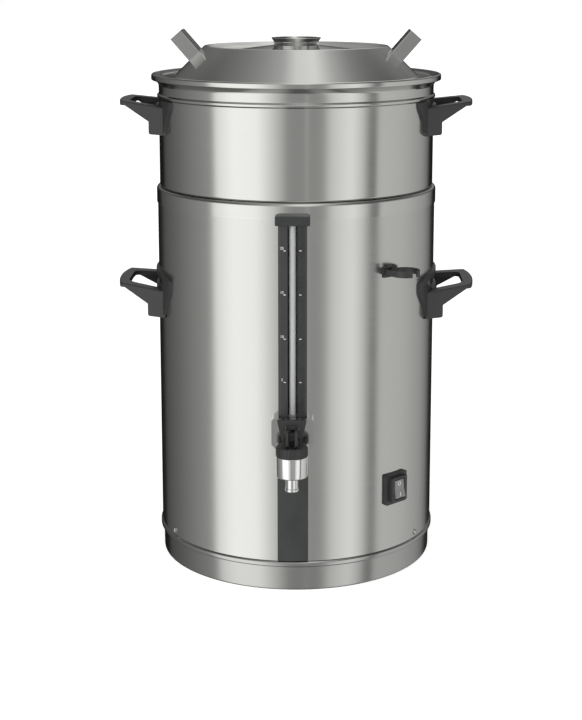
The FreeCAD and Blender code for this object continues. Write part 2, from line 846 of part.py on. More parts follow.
tap_body = tap_body.cut(rod_y(shank_bore_r, tap_y, 0.0, 0.0, shank_z))
parts["tap_body"] = tap_body

gasket = rod_y(shank_flange_r, block_front_y - gasket_h, block_front_y, 0.0, shank_z)
parts["tap_gasket"] = gasket.cut(rod_y(shank_r, -beyond, 0.0, 0.0, shank_z))
lock_nut = nut(lock_nut_af, shank_r, lock_nut_h)
lock_nut.rotate(V(0, 0, 0), V(1, 0, 0), -90)
jacket_back_y = -math.sqrt((jacket_r - jacket_wall) ** 2 - (lock_nut_af / math.sqrt(3.0)) ** 2)
lock_nut.translate(V(0, jacket_back_y + seat_gap, shank_z))
parts["tap_lock_nut"] = lock_nut

# Elbow from the tank floor to the shank
elbow_low = V(0, shank_end_y, shank_z)
elbow_corner = V(0, elbow_y - elbow_bend, shank_z)
elbow_rise = V(0, elbow_y, shank_z + elbow_bend)
elbow_mid = V(0, elbow_y - elbow_bend + elbow_bend * math.sqrt(0.5),
              shank_z + elbow_bend - elbow_bend * math.sqrt(0.5))
elbow_top = V(0, elbow_y, tank_floor_z - tank_wall)
elbow_edges = [Part.LineSegment(elbow_low, elbow_corner).toShape(),
               Part.Arc(elbow_corner, elbow_mid, elbow_rise).toShape(),
               Part.LineSegment(elbow_rise, elbow_top).toShape()]


def elbow_solid(r):
    """A bar of the given radius along the elbow's path."""
    circle = Part.Wire([Part.makeCircle(r, elbow_low, V(0, 1, 0))])
    return Part.Wire(elbow_edges).makePipeShell([circle], True, False)


parts["outlet_elbow"] = elbow_solid(elbow_r).cut(elbow_solid(shank_bore_r))

# Bonnet: ribbed nut with the spring's chamber
bonnet = disc(bonnet_r - bonnet_rib_r, cup_top_z, bonnet_high_z, 0.0, tap_y)
bonnet_top_edges = [edge for edge in bonnet.Edges if abs(edge.CenterOfMass.z - bonnet_high_z) < 1e-6]
bonnet = bonnet.makeFillet(bonnet_fillet, bonnet_top_edges)
ribs = []
for k in range(bonnet_rib_count):
    angle = math.radians(360.0 / bonnet_rib_count * k)
    ribs.append(disc(bonnet_rib_r, cup_top_z, bonnet_high_z - bonnet_rib_drop,
                     (bonnet_r - bonnet_rib_r) * math.cos(angle),
                     tap_y + (bonnet_r - bonnet_rib_r) * math.sin(angle)))
bonnet = bonnet.fuse(ribs)
bonnet = bonnet.fuse(disc(cup_bore_r - running_gap, cup_top_z - bonnet_skirt_h, cup_top_z + join_lap, 0.0, tap_y))
bonnet = bonnet.cut(disc(bonnet_bore_r, -beyond, bonnet_high_z - bonnet_roof, 0.0, tap_y))
parts["tap_bonnet"] = bonnet.cut(bore_z(stem_r + running_gap, 0.0, tap_y)).removeSplitter()

# Stem with its flat head and collar, seat cup and spring
seat_cup_low_z = cavity_low_z + valve_seat_h
seat_cup_top_z = seat_cup_low_z + seat_cup_h
stem_low_z = seat_cup_top_z - stem_in_cup
head_low_z = pin_z - stem_head_below
head_high_z = pin_z + stem_head_above
stem_rod = disc(stem_r, stem_low_z, head_low_z + join_lap, 0.0, tap_y)
stem_head = block(-stem_head_width / 2, stem_head_width / 2, tap_y - stem_head_width / 2,
                  tap_y + stem_head_width / 2, head_low_z, head_high_z)
head_edges = [edge for edge in stem_head.Edges
              if abs(edge.CenterOfMass.z - head_high_z) < 1e-6 and abs(edge.CenterOfMass.x) < 1e-6]
stem_head = stem_head.makeFillet(stem_head_fillet, head_edges)
stem_collar = disc(spring_r + spring_wire_r, seat_cup_top_z, seat_cup_top_z + stem_collar_h, 0.0, tap_y)
stem = joined([stem_rod, stem_head, stem_collar])
parts["tap_stem"] = stem.cut(rod_x(pin_r, -beyond, beyond, tap_y, pin_z))
seat_cup = disc(seat_cup_r, seat_cup_low_z, seat_cup_top_z, 0.0, tap_y)
seat_edges = [edge for edge in seat_cup.Edges if abs(edge.CenterOfMass.z - seat_cup_low_z) < 1e-6]
seat_cup = seat_cup.makeFillet(seat_cup_fillet, seat_edges)
parts["tap_seat_cup"] = seat_cup.cut(disc(stem_r, stem_low_z, beyond, 0.0, tap_y))
fork_outer = fork_inner + fork_wall
pin_half = fork_outer + pin_overhang
parts["lever_pin"] = rod_x(pin_r, -pin_half, pin_half, tap_y, pin_z)

spring_low_z = seat_cup_top_z + stem_collar_h + spring_wire_r + skin_gap
spring_high_z = bonnet_high_z - bonnet_roof - spring_wire_r - skin_gap
spring_pitch = (spring_high_z - spring_low_z) / spring_turn_count
spring_line = coil_path(spring_r, spring_pitch, spring_turn_count, 0.0, tap_y, spring_low_z)
spring_circle = Part.Wire([Part.makeCircle(spring_wire_r, V(spring_r, tap_y, spring_low_z), V(0, 1, 0))])
parts["tap_spring"] = spring_line.makePipeShell([spring_circle], True, False)

# Lever: paddle, window, fork cheeks with their cams
paddle_front_y = tap_y - lever_thick / 2
paddle_outline = [
    (-lever_low_half, lever_low_z, lever_corner),
    (lever_low_half, lever_low_z, lever_corner),
    (lever_top_half, lever_top_z, lever_corner),
    (-lever_top_half, lever_top_z, lever_corner),
]
paddle = prism_y(paddle_outline, paddle_front_y, paddle_front_y + lever_thick)
window_half = fork_outer + window_side
window_top_z = pin_z + window_above_pin
window = prism_y([(-window_half, 0.0, 0.0), (window_half, 0.0, 0.0),
                  (window_half, window_top_z, lever_corner), (-window_half, window_top_z, lever_corner)],
                 -beyond, 0.0)
paddle = paddle.cut(window)
cam_r = pin_z - bonnet_high_z - cam_gap
cam_offset = lever_lift / math.sin(math.radians(lever_swing_deg))
cheeks = []
for side in (-1, 1):
    x0 = min(side * fork_inner, side * fork_outer)
    cam = rod_x(cam_r, x0, x0 + fork_wall, tap_y - cam_offset, pin_z)
    hub = rod_x(cam_r * fork_hub_share, x0, x0 + fork_wall, tap_y, pin_z)
    post = block(x0, x0 + fork_wall, paddle_front_y - fork_step, paddle_front_y + lever_thick,
                 pin_z, pin_z + bridge_high)
    cheeks += [cam, hub, post]
bridge = block(-fork_outer, fork_outer, paddle_front_y - fork_step, paddle_front_y + lever_thick,
               pin_z + bridge_low, pin_z + bridge_high)
lever = joined([paddle] + cheeks + [bridge])
lever = lever.cut(rod_x(pin_r + running_gap, -beyond, beyond, tap_y, pin_z))
parts["tap_lever"] = lever

# Gauge: cover with its slot, tube, cap and seals
cover_back_y = -tank_inner_r
cover_back_r = jacket_r + gauge_back_gap
cover_low_z = block_high_z + gauge_back_gap
gauge_outline = [
    (-gauge_half, cover_back_y, 0.0),
    (-gauge_half, gauge_front_y + gauge_chamfer, gauge_corner),
    (-gauge_slot_half - skin_gap, gauge_front_y, 0.0),
    (gauge_slot_half + skin_gap, gauge_front_y, 0.0),
    (gauge_half, gauge_front_y + gauge_chamfer, gauge_corner),
    (gauge_half, cover_back_y, 0.0),
]
cover = prism_z(gauge_outline, cover_low_z, gauge_top_z)
cover = cover.cut(bore_z(cover_back_r))
cover = cover.cut(block(-gauge_slot_half, gauge_slot_half, -beyond, 0.0, 0.0, beyond))
cover_back = ring(cover_back_r + gauge_back_wall, cover_back_r, cover_low_z, gauge_top_z)
cover_back = cover_back.common(block(-gauge_slot_half - join_lap, gauge_slot_half + join_lap,
                                     -beyond, 0.0, 0.0, beyond))
parts["gauge_cover"] = joined([cover, cover_back])
cap = block(-cap_half, cap_half, cap_front_y, -tank_inner_r, gauge_top_z, cap_high_z)
cap_edges = [edge for edge in cap.Edges if edge.CenterOfMass.y < -tank_outer_r]
cap = cap.makeFillet(cap_fillet, cap_edges)
cap = cap.cut(bore_z(cover_back_r))
cap = cap.cut(disc(top_ring_r + gauge_back_gap, top_ring_low_z - touch_gap, beyond))
tube_top_z = gauge_top_z + cap_pocket
cap = cap.cut(disc(tube_r + seal_wall, 0.0, tube_top_z, 0.0, tube_y))
parts["gauge_cap"] = cap
tube_low_z = block_high_z - tube_socket
parts["gauge_tube"] = ring(tube_r, tube_bore_r, tube_low_z, tube_top_z, 0.0, tube_y)
parts["gauge_seals"] = Part.makeCompound([
    ring(tube_r + seal_wall, tube_r, gauge_top_z, gauge_top_z + seal_h, 0.0, tube_y),
    ring(gauge_slot_half - seat_gap, tube_r, block_high_z, block_high_z + seal_low_h, 0.0, tube_y),
])

# Plug holder clip: tab on the jacket, radial web, open ring
clip_ring = ring(clip_ring_r, clip_ring_r - clip_wall, clip_low_z, clip_high_z, 0.0, -clip_centre_r)
gap_wedge = wedge(clip_gap_deg)
gap_wedge.rotate(V(0, 0, 0), UP, clip_gap_at_deg)
gap_wedge.translate(V(0, -clip_centre_r, 0))
clip_ring = clip_ring.cut(gap_wedge)
web_x = -clip_ring_r
clip_web = block(web_x, web_x + clip_wall, -clip_centre_r, -tank_inner_r, clip_low_z, clip_high_z)
clip_web = clip_web.cut(bore_z(jacket_r + skin_gap))
clip_tab = ring(jacket_r + clip_wall, jacket_r + skin_gap, clip_tab_low_z, clip_tab_high_z)
tab_turn = math.degrees(math.atan2(web_x, clip_centre_r)) + clip_tab_turn_deg
clip_tab = clip_tab.common(about_axis(wedge(clip_tab_deg), tab_turn))
parts["plug_clip"] = at_front(joined([clip_ring, clip_web, clip_tab]), clip_az)

# Switch: frame with raised collar, body and rocker, drawn at the front and turned to its place
rim_front_y = -jacket_r - switch_stand
collar_front_y = rim_front_y - collar_h
switch_frame = block(-switch_width / 2, switch_width / 2, rim_front_y, -jacket_r + switch_seat_depth,
                     switch_z - switch_height / 2, switch_z + switch_height / 2)
switch_frame = switch_frame.makeFillet(switch_corner, upright_edges(switch_frame))
switch_frame = switch_frame.cut(bore_z(jacket_r + skin_gap))
switch_collar = block(-collar_width / 2, collar_width / 2, collar_front_y, rim_front_y + join_lap,
                      switch_z - collar_height / 2, switch_z + collar_height / 2)
switch_collar = switch_collar.makeFillet(collar_corner, upright_edges(switch_collar))
body_back_y = -jacket_r + switch_body_depth + join_lap
switch_body = block(-switch_body_width / 2, switch_body_width / 2, rim_front_y + join_lap, body_back_y,
                    switch_z - switch_body_height / 2, switch_z + switch_body_height / 2)
switch_frame = joined([switch_frame, switch_collar, switch_body])
well_half_x = rocker_width / 2 + touch_gap
well_half_z = rocker_height / 2 + rocker_end_gap
well = block(-well_half_x, well_half_x, -beyond, collar_front_y + rocker_depth + collar_h,
             switch_z - well_half_z, switch_z + well_half_z)
rocker_pivot_y = collar_front_y + rocker_pivot_depth
switch_frame = switch_frame.cut(well)
pin_reach = rocker_width / 2 + rocker_pin_length
pin_hole_reach = pin_reach + seat_gap
switch_frame = switch_frame.cut(rod_x(rocker_pin_r + running_gap, -pin_hole_reach, pin_hole_reach,
                                      rocker_pivot_y, switch_z))
for k in (-1, 0, 1):
    tab_x = switch_blade_pitch * k
    tab = block(tab_x - blade_wall / 2, tab_x + blade_wall / 2, body_back_y - join_lap, body_back_y + blade_length,
                switch_z - blade_half_width, switch_z + blade_half_width)
    switch_frame = switch_frame.fuse(tab)
parts["switch_frame"] = at_front(switch_frame.removeSplitter(), switch_az)
rocker_half = rocker_height / 2
rocker_outline = [
    (collar_front_y + rocker_depth - rocker_foot_up, switch_z - rocker_half + rocker_foot_in, 0.0),
    (collar_front_y - rocker_crown, switch_z - rocker_half, rocker_corner),
    (collar_front_y + rocker_crown, switch_z, 0.0),
    (collar_front_y - rocker_crown, switch_z + rocker_half, rocker_corner),
    (collar_front_y + rocker_depth - rocker_foot_up, switch_z + rocker_half - rocker_foot_in, 0.0),
]
rocker = prism_x(rocker_outline, -rocker_width / 2, rocker_width / 2)
rocker = rocker.fuse(rod_x(rocker_pin_r, -pin_reach, pin_reach, rocker_pivot_y, switch_z))
rocker.rotate(V(0, rocker_pivot_y, switch_z), V(1, 0, 0), -rocker_tilt_deg)
parts["switch_rocker"] = at_front(rocker, switch_az)

# Mains inlet at the rear and its screws
inlet_front_y = jacket_r + inlet_plate_h
inlet = block(-inlet_plate_width / 2, inlet_plate_width / 2, inlet_seat_y, inlet_front_y,
              inlet_z - inlet_plate_height / 2, inlet_z + inlet_plate_height / 2)
inlet = inlet.makeFillet(inlet_plate_corner, upright_edges(inlet))
inlet = inlet.cut(bore_z(jacket_r + skin_gap))
inlet_body = block(-inlet_body_width / 2, inlet_body_width / 2, jacket_r - inlet_body_depth,
                   jacket_r + join_lap, inlet_z - inlet_body_height / 2, inlet_z + inlet_body_height / 2)
inlet = joined([inlet, inlet_body])
socket_half = inlet_socket_width / 2
socket_top_z = inlet_z + inlet_socket_height / 2
socket_low_z = inlet_z - inlet_socket_height / 2
socket_outline = [
    (-socket_half, socket_low_z, inlet_socket_corner),
    (socket_half, socket_low_z, inlet_socket_corner),
    (socket_half, socket_top_z - inlet_socket_chamfer, inlet_socket_corner),
    (socket_half - inlet_socket_chamfer, socket_top_z, inlet_socket_corner),
    (-socket_half + inlet_socket_chamfer, socket_top_z, inlet_socket_corner),
    (-socket_half, socket_top_z - inlet_socket_chamfer, inlet_socket_corner),
]
socket_back_y = inlet_front_y - inlet_socket_depth
inlet = inlet.cut(prism_y(socket_outline, socket_back_y, beyond))
for k in (-1, 0, 1):
    pin_x = k * inlet_pin_pitch
    pin_height = inlet_z + (inlet_pin_step if k == 0 else -inlet_pin_step)
    blade = block(pin_x - inlet_pin_half_width, pin_x + inlet_pin_half_width, socket_back_y - join_lap,
                  inlet_front_y - inlet_pin_setback,
                  pin_height - inlet_pin_half_height, pin_height + inlet_pin_half_height)
    inlet = inlet.fuse(blade)
for side in (-1, 1):
    inlet = inlet.cut(rod_y(inlet_screw_r + running_gap, 0.0, beyond, side * inlet_screw_pitch / 2, inlet_z))
parts["mains_inlet"] = inlet
inlet_screws = []
for side in (-1, 1):
    screw = pan_screw(inlet_screw_head_r, inlet_screw_head_h, inlet_screw_r, inlet_screw_length)
    screw.rotate(V(0, 0, 0), UP, 180)
    screw.translate(V(side * inlet_screw_pitch / 2, inlet_front_y + skin_gap, inlet_z))
    inlet_screws.append(screw)
parts["inlet_screws"] = Part.makeCompound(inlet_screws)


def handle_top(x):
    """Height of the handle's sloping top face at a distance from the axis."""
    return handle_tip_z - (handle_tip_r - x) * handle_top_slope


def handle_plan(inset):
    """The handle's plan outline, drawn in by inset: a wedge that narrows outwards."""
    taper = (handle_shell_half - handle_tip_half) / (handle_tip_r - tank_inner_r)
    end_x = handle_tip_r + handle_wall - inset
    start_half = handle_shell_half - inset
    end_half = handle_shell_half - taper * (end_x - tank_inner_r) - inset
    return [
        (tank_inner_r, -start_half, 0.0),
        (end_x, -end_half, 0.0),
        (end_x, end_half, 0.0),
        (tank_inner_r, start_half, 0.0),
    ]


def mirrored(half):
    """A closed outline from its right-hand half, read upwards."""
    return half + [(-y, z, fillet) for y, z, fillet in reversed(half)]


def handle_shape(shell_r, flange_top_z, inset):
    """The right-hand handle at the lower pair's height, fitted to a shell of the given radius.

    The inset moves its grip towards the axis."""
    inside_x = tank_inner_r - handle_roof_setback
    outside_x = handle_tip_r + handle_wall
    tip_low_z = handle_tip_z - handle_tip_h
    profile = [
        (inside_x, handle_top(inside_x), 0.0),
        (outside_x, handle_top(outside_x), 0.0),
        (outside_x, tip_low_z, 0.0),
        (handle_tip_r - handle_tip_step, tip_low_z - bead_foot, 2.0),
        (handle_leg_x, handle_leg_z, 1.0),
        (handle_leg_x, handle_low_z, 3.0),
        (inside_x, handle_low_z - handle_low_slope, 0.0),
    ]
    body = prism_y(profile, -beyond, beyond)
    plan = prism_z(handle_plan(0.0), 0.0, beyond).common(disc(handle_tip_r, 0.0, beyond))
    corners = [edge for edge in plan.Edges
               if abs(edge.Vertexes[0].Z - edge.Vertexes[-1].Z) > beyond / 2
               and edge.CenterOfMass.x > handle_leg_x and abs(edge.CenterOfMass.y) > handle_tip_half / 2]
    plan = plan.makeFillet(handle_corner, corners)
    body = body.common(plan)
    rim = [edge for edge in body.Edges
           if edge.CenterOfMass.z > tip_low_z + handle_edge_fillet / 2 and edge.CenterOfMass.x > tank_outer_r
           and abs(edge.Vertexes[0].Z - edge.Vertexes[-1].Z) < edge.Length / 2]
    body = body.makeFillet(handle_edge_fillet, rim)
    roof_end_x = handle_tip_r - handle_roof_setback
    roof_profile = [
        (0.0, handle_top(0.0) - handle_roof, 0.0),
        (roof_end_x, handle_top(roof_end_x) - handle_roof, 0.0),
        (roof_end_x, 0.0, 0.0),
        (0.0, 0.0, 0.0),
    ]
    hollow = prism_y(roof_profile, -beyond, beyond)
    hollow = hollow.common(prism_z(handle_plan(handle_wall), 0.0, beyond))
    body = body.cut(hollow)
    body.translate(V(-inset, 0, 0))
    hole_end_x = handle_tip_r - grip_rim - inset
    hole = prism_z([
        (tank_inner_r, -grip_hole_half_shell, 0.0),
        (hole_end_x, -grip_hole_half_tip, grip_hole_corner),
        (hole_end_x, grip_hole_half_tip, grip_hole_corner),
        (tank_inner_r, grip_hole_half_shell, 0.0),
    ], 0.0, beyond)
    body = body.cut(hole)
    flange_outline = mirrored([
        (flange_foot_half, flange_low_z, 5.0),
        (flange_waist_half, flange_low_z + flange_waist_rise, 12.0),
        (flange_half, flange_low_z + flange_half_rise, 20.0),
        (flange_half, flange_high_z - flange_shoulder_drop, 8.0),
        (flange_crown_half, flange_high_z - flange_crown_drop, 30.0),
    ])
    flange = prism_x(flange_outline, 0.0, beyond)
    flange = flange.common(ring(shell_r + flange_wall, shell_r, 0.0, flange_top_z))
    window_low_z = handle_top(shell_r) - 0.5
    window_high_z = flange_high_z - flange_window_drop
    view_window = mirrored([
        (flange_window_low_half, window_low_z, 0.0),
        (flange_window_side, window_low_z + flange_window_side_rise, 2.0),
        (flange_window_half, window_high_z - flange_crown_drop, 2.0),
        (flange_window_top_half, window_high_z, 4.0),
    ])
    flange = flange.cut(prism_x(view_window, 0.0, beyond))
    body = body.cut(bore_z(shell_r)).fuse(flange)
    for side in (-1, 1):
        boss = rod_y(handle_boss_r, -handle_leg_x - 0.5 + inset, -tank_inner_r, 0.0, handle_screw_z)
        boss = boss.cut(bore_z(shell_r))
        body = body.fuse(about_axis(boss, 90 + side * handle_screw_deg))
    for side in (-1, 1):
        bore = rod_y(handle_screw_r, -shell_r - handle_screw_length + 1.0, 0.0, 0.0, handle_screw_z)
        body = body.cut(about_axis(bore, 90 + side * handle_screw_deg))
    return body.removeSplitter()


lower_handle = handle_shape(jacket_r + skin_gap, beyond, 0.0)
parts["lower_handle_right"] = lower_handle
parts["lower_handle_left"] = about_axis(lower_handle, 180)
upper_flange_top_z = vessel_bead_low_z - upper_flange_drop - upper_handle_rise
upper_handle = handle_shape(vessel_r + skin_gap, upper_flange_top_z, upper_handle_inset)
parts["upper_handle_right"] = lifted(upper_handle, upper_handle_rise)
parts["upper_handle_left"] = about_axis(parts["upper_handle_right"], 180)


def handle_screws(inner_r, z):
    """Four screws from inside a shell, their heads lying on its inner face."""
    screws = []
    for azimuth in handle_screw_azimuths:
        flat_y = -math.sqrt(inner_r ** 2 - handle_screw_head_r ** 2) + skin_gap
        screw = joined([
            rod_y(handle_screw_head_r, flat_y, flat_y + handle_screw_head_h, 0.0, z),
            rod_y(handle_screw_r, flat_y - handle_screw_length, flat_y + join_lap, 0.0, z),
        ])
        screws.append(at_front(screw, azimuth))
    return Part.makeCompound(screws)


parts["lower_handle_screws"] = handle_screws(jacket_r - jacket_wall, handle_screw_z)
parts["upper_handle_screws"] = handle_screws(vessel_r - vessel_wall, handle_screw_z + upper_handle_rise)

# Brewing vessel: wall with bead, flared and rolled rim, spigot, sloping floor and spout
foot_z = top_ring_z + skin_gap
vessel_bead_r = vessel_r + vessel_bead_stand
vessel_bead_high_z = vessel_bead_low_z + vessel_bead_h
vessel_path = [
    (vessel_r, flare_low_z - flare_lap + bead_foot, 0.0),
    (vessel_r, vessel_bead_high_z + bead_foot, 0.0),
    (vessel_bead_r, vessel_bead_high_z - bead_edge, bead_edge),
    (vessel_bead_r, vessel_bead_low_z + bead_edge, bead_edge),
    (vessel_r, vessel_bead_low_z - bead_foot, 0.0),
    (vessel_r, foot_z, vessel_foot_fillet),
    (spigot_r, foot_z, spigot_corner),
    (spigot_r, spigot_low_z, spigot_fillet),
    (spout_r, vessel_floor_z, 2.0),
    (spout_r, spout_low_z, 0.0),
]
vessel = turned_sheet(vessel_path, -vessel_wall)
vessel_inner_r = vessel_r - vessel_wall
rim_outline = [
    (vessel_r, flare_low_z - flare_lap, 0.0),
    (vessel_r, flare_low_z, flare_fillet),
    (rim_r - rim_lip_inset, rim_low_z + rim_lip_rise, 1.0),
    (rim_r, rim_low_z, 1.5),
    (rim_r, rim_high_z, 2.2),
    (rim_inner_r, rim_high_z, 1.5),
    (vessel_inner_r, flare_low_z, flare_fillet),
    (vessel_inner_r, flare_low_z - flare_lap, 0.0),
]
vessel = vessel.fuse(turned(rim_outline))
vessel = drilled(vessel, handle_screw_azimuths, handle_screw_r + running_gap,
                 handle_screw_z + upper_handle_rise)
parts["brew_vessel"] = vessel.removeSplitter()

# Brew basket, grid and mixing tube
basket_path = [
    (basket_edge_r, basket_edge_z, 0.0),
    (basket_rim_r, basket_rim_z, 1.5),
    (basket_r, basket_rim_z, 2.0),
    (basket_r, basket_low_z, basket_foot_fillet),
    (basket_ledge_r, basket_low_z, 0.0),
]
parts["brew_basket"] = turned_sheet(basket_path, basket_wall)
grid_low_z = basket_low_z + skin_gap
grid = disc(basket_r - basket_foot_fillet - seat_gap, grid_low_z, basket_low_z + grid_wall)
grid_holes = []
for row in range(-grid_row_count, grid_row_count + 1):
    for column in range(-grid_row_count, grid_row_count + 1):
        x = (column + (row % 2) / 2.0) * grid_pitch
        y = row * grid_pitch * math.sqrt(3.0) / 2.0
        if math.hypot(x, y) < basket_ledge_r - grid_hole_r - grid_edge:
            grid_holes.append(bore_z(grid_hole_r, x, y))
parts["basket_grid"] = grid.cut(grid_holes)
mixing_r = spout_r - vessel_wall - running_gap
mixing_top_z = spout_low_z + mixing_overlap
mixing_tube = ring(mixing_r, mixing_r - mixing_wall, mixing_low_z, mixing_top_z)
for k in range(2):
    port = block(-mixing_port_half, mixing_port_half, -beyond, beyond, 0.0, mixing_low_z + mixing_port_h)
    mixing_tube = mixing_tube.cut(about_axis(port, 90.0 * k))
parts["mixing_tube"] = mixing_tube

# Lid: flange, cone, dished top, inlet collar, folded grips and spray plate
lid_path = [
    (lid_flange_r, lid_lip_z, 0.0),
    (lid_flange_r - lid_lip_inset, lid_flange_z, 1.0),
    (cone_base_r, lid_flange_z, cone_base_fillet),
    (cone_top_r, cone_top_z, cone_top_fillet),
    (dish_r, dish_z, dish_fillet),
    (plateau_r, plateau_z, plateau_fillet),
    (neck_r, neck_z, 0.0),
]
parts["lid_shell"] = turned_sheet(lid_path, lid_wall).cut(bore_z(neck_r))
collar_path = [
    (neck_r, neck_z - collar_foot, 0.0),
    (neck_r, collar_flare_z, collar_flare_fillet),
    (collar_mouth_r, collar_mouth_z, 0.0),
]
parts["inlet_collar"] = turned_sheet(collar_path, lid_wall)
lid_bulk = turned([
    (0.0, 0.0, 0.0),
    (cone_base_r, 0.0, 0.0),
    (cone_base_r, lid_flange_z, 0.0),
    (cone_top_r, cone_top_z, cone_top_fillet),
    (dish_r, dish_z, 0.0),
    (0.0, dish_z, 0.0),
])
grip_outer = block(-grip_width / 2, grip_width / 2, -grip_depth / 2, grip_depth / 2, -grip_sink, grip_height)
grip_inner = block(-grip_width / 2 + grip_sheet, beyond, -grip_depth / 2 + grip_sheet,
                   grip_depth / 2 - grip_sheet, -beyond, beyond)
grip = grip_outer.cut(grip_inner)
web_corners = [edge for edge in grip.Edges
               if edge.Length > grip_depth + join_lap and abs(edge.CenterOfMass.x + grip_width / 2) < 1e-6]
grip = grip.makeFillet(grip_corner, web_corners)
grip.rotate(V(0, 0, 0), V(0, 1, 0), grip_lean_deg)
grip.translate(V(grip_foot_r, 0, grip_foot_z))
grip = grip.cut(lid_bulk)
parts["lid_grip_right"] = grip
parts["lid_grip_left"] = about_axis(grip, 180)

spray_path = [
    (0.0, spray_z, 0.0),
    (spray_r, spray_z, spray_edge),
    (spray_r, spray_z + spray_lip_h, 0.0),
]
spray = turned_sheet(spray_path, lid_wall)
spray_holes = []
for ring_r, count in spray_rings:
    for k in range(count):
        angle = 2.0 * math.pi * k / count
        spray_holes.append(bore_z(spray_hole_r, ring_r * math.cos(angle), ring_r * math.sin(angle)))
spray = spray.cut(spray_holes)
stud_top = lid_wall + skin_gap
under_lid = turned([
    (0.0, 0.0, 0.0),
    (plateau_r, 0.0, 0.0),
    (plateau_r, plateau_z - stud_top, 0.0),
    (neck_r, neck_z - stud_top, 0.0),
    (0.0, neck_z - stud_top, 0.0),
])
for k in range(spray_stud_count):
    angle = 2.0 * math.pi * (k + 0.5) / spray_stud_count
    stud = disc(spray_stud_r, spray_z + lid_wall / 2, beyond,
                spray_stud_ring_r * math.cos(angle), spray_stud_ring_r * math.sin(angle))
    spray = spray.fuse(stud.common(under_lid))
parts["spray_plate"] = spray.removeSplitter()

os.makedirs("parts", exist_ok=True)
for name, shape in parts.items():
    shape.exportStep("parts/" + name + ".step")
    box = shape.BoundBox
    low = [round(value, 1) for value in (box.XMin, box.YMin, box.ZMin)]
    high = [round(value, 1) for value in (box.XMax, box.YMax, box.ZMax)]
    print(name, "valid" if shape.isValid() else "not valid", len(shape.Solids), round(shape.Volume), low, high)
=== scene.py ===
import logging
import math
from dataclasses import dataclass
from enum import Enum
from typing import Sequence

import bpy
from mathutils import Matrix, Vector


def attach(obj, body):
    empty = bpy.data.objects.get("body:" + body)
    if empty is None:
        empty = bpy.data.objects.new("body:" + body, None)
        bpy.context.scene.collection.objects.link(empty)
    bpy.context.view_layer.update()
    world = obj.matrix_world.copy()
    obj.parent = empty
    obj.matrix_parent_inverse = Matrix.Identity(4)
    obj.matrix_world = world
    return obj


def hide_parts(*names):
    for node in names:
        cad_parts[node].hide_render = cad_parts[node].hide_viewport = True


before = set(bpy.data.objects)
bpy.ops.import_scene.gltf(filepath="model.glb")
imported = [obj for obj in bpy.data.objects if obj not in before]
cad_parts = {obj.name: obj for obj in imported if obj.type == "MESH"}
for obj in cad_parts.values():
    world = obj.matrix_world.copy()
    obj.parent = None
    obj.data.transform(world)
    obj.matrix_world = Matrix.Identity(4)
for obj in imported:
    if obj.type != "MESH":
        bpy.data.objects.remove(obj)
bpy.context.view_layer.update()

MM = 0.001

log = logging.getLogger("urn")

Corner = tuple[float, float, float]
Flat = tuple[float, float]
Colour = tuple[float, float, float]


class Grain(Enum):
    """The way a sheet was brushed."""

    AROUND = "around"
    UPRIGHT = "upright"


# Outlines: a corner is (radius or across, height, corner radius), in millimetres


def rounded(outline: Sequence[Corner], closed: bool, steps: int = 6) -> list[Flat]:
    """Turn corners with radii into a line of points.

    Args:
        outline: The corners in order.
        closed: True where the last corner joins the first.
        steps: Segments in each rounded corner.

    Returns:
        The points of the line, in millimetres.
    """
    points: list[Flat] = []
    count = len(outline)
    for index, (x, y, radius) in enumerate(outline):
        end = not closed and index in (0, count - 1)
        if radius <= 0.0 or end:
            points.append((x, y))
            continue
        before = outline[index - 1]
        after = outline[(index + 1) % count]
        back = Vector((before[0] - x, before[1] - y)).normalized()
        ahead = Vector((after[0] - x, after[1] - y)).normalized()
        half = back.angle(ahead) / 2.0
        run = radius / math.tan(half)
        middle = (back + ahead).normalized() * (radius / math.sin(half))
        centre = Vector((x, y)) + middle
        start = Vector((x, y)) + back * run - centre
        sweep = math.pi - 2.0 * half
        if back.cross(ahead) > 0.0:
            sweep = -sweep
        for step in range(steps + 1):
            angle = sweep * step / steps
            cos, sin = math.cos(angle), math.sin(angle)
            across = centre.x + start.x * cos - start.y * sin
            points.append((across, centre.y + start.x * sin + start.y * cos))
    return points


def second_skin(path: Sequence[Corner], wall: float) -> list[Corner]:
    """Move a path to its left by the wall, with its corner radii kept concentric.

    Args:
        path: The corners of the first skin.
        wall: The sheet's thickness in millimetres.

    Returns:
        The corners of the other skin, in the same order.
    """
    moved: list[Corner] = []
    for index, (x, y, radius) in enumerate(path):
        sides = []
        if index > 0:
            sides.append(Vector((x - path[index - 1][0], y - path[index - 1][1])).normalized())
        if index < len(path) - 1:
            sides.append(Vector((path[index + 1][0] - x, path[index + 1][1] - y)).normalized())
        normals = [Vector((-side.y, side.x)) for side in sides]
        if len(normals) == 1:
            moved.append((x + normals[0].x * wall, y + normals[0].y * wall, 0.0))
            continue
        scale = wall / (1.0 + normals[0].dot(normals[1]))
        left_turn = sides[0].cross(sides[1]) > 0.0
        if radius > 0.0:
            radius = max(radius - wall, 0.0) if left_turn else radius + wall
        step = (normals[0] + normals[1]) * scale
        moved.append((x + step.x, y + step.y, radius))
    return moved


# Modelling steps shared by the sub-assemblies


def clear_selection() -> None:
    """Leave nothing selected, so that the next operator acts on the new piece alone."""
    if bpy.context.object is not None and bpy.context.object.mode != "OBJECT":
        bpy.ops.object.mode_set(mode="OBJECT")
    bpy.ops.object.select_all(action="DESELECT")


def name_piece(piece: bpy.types.Object, name: str) -> bpy.types.Object:
    """Give an object and its mesh one name and return the object."""
    piece.name = name
    piece.data.name = name
    return piece


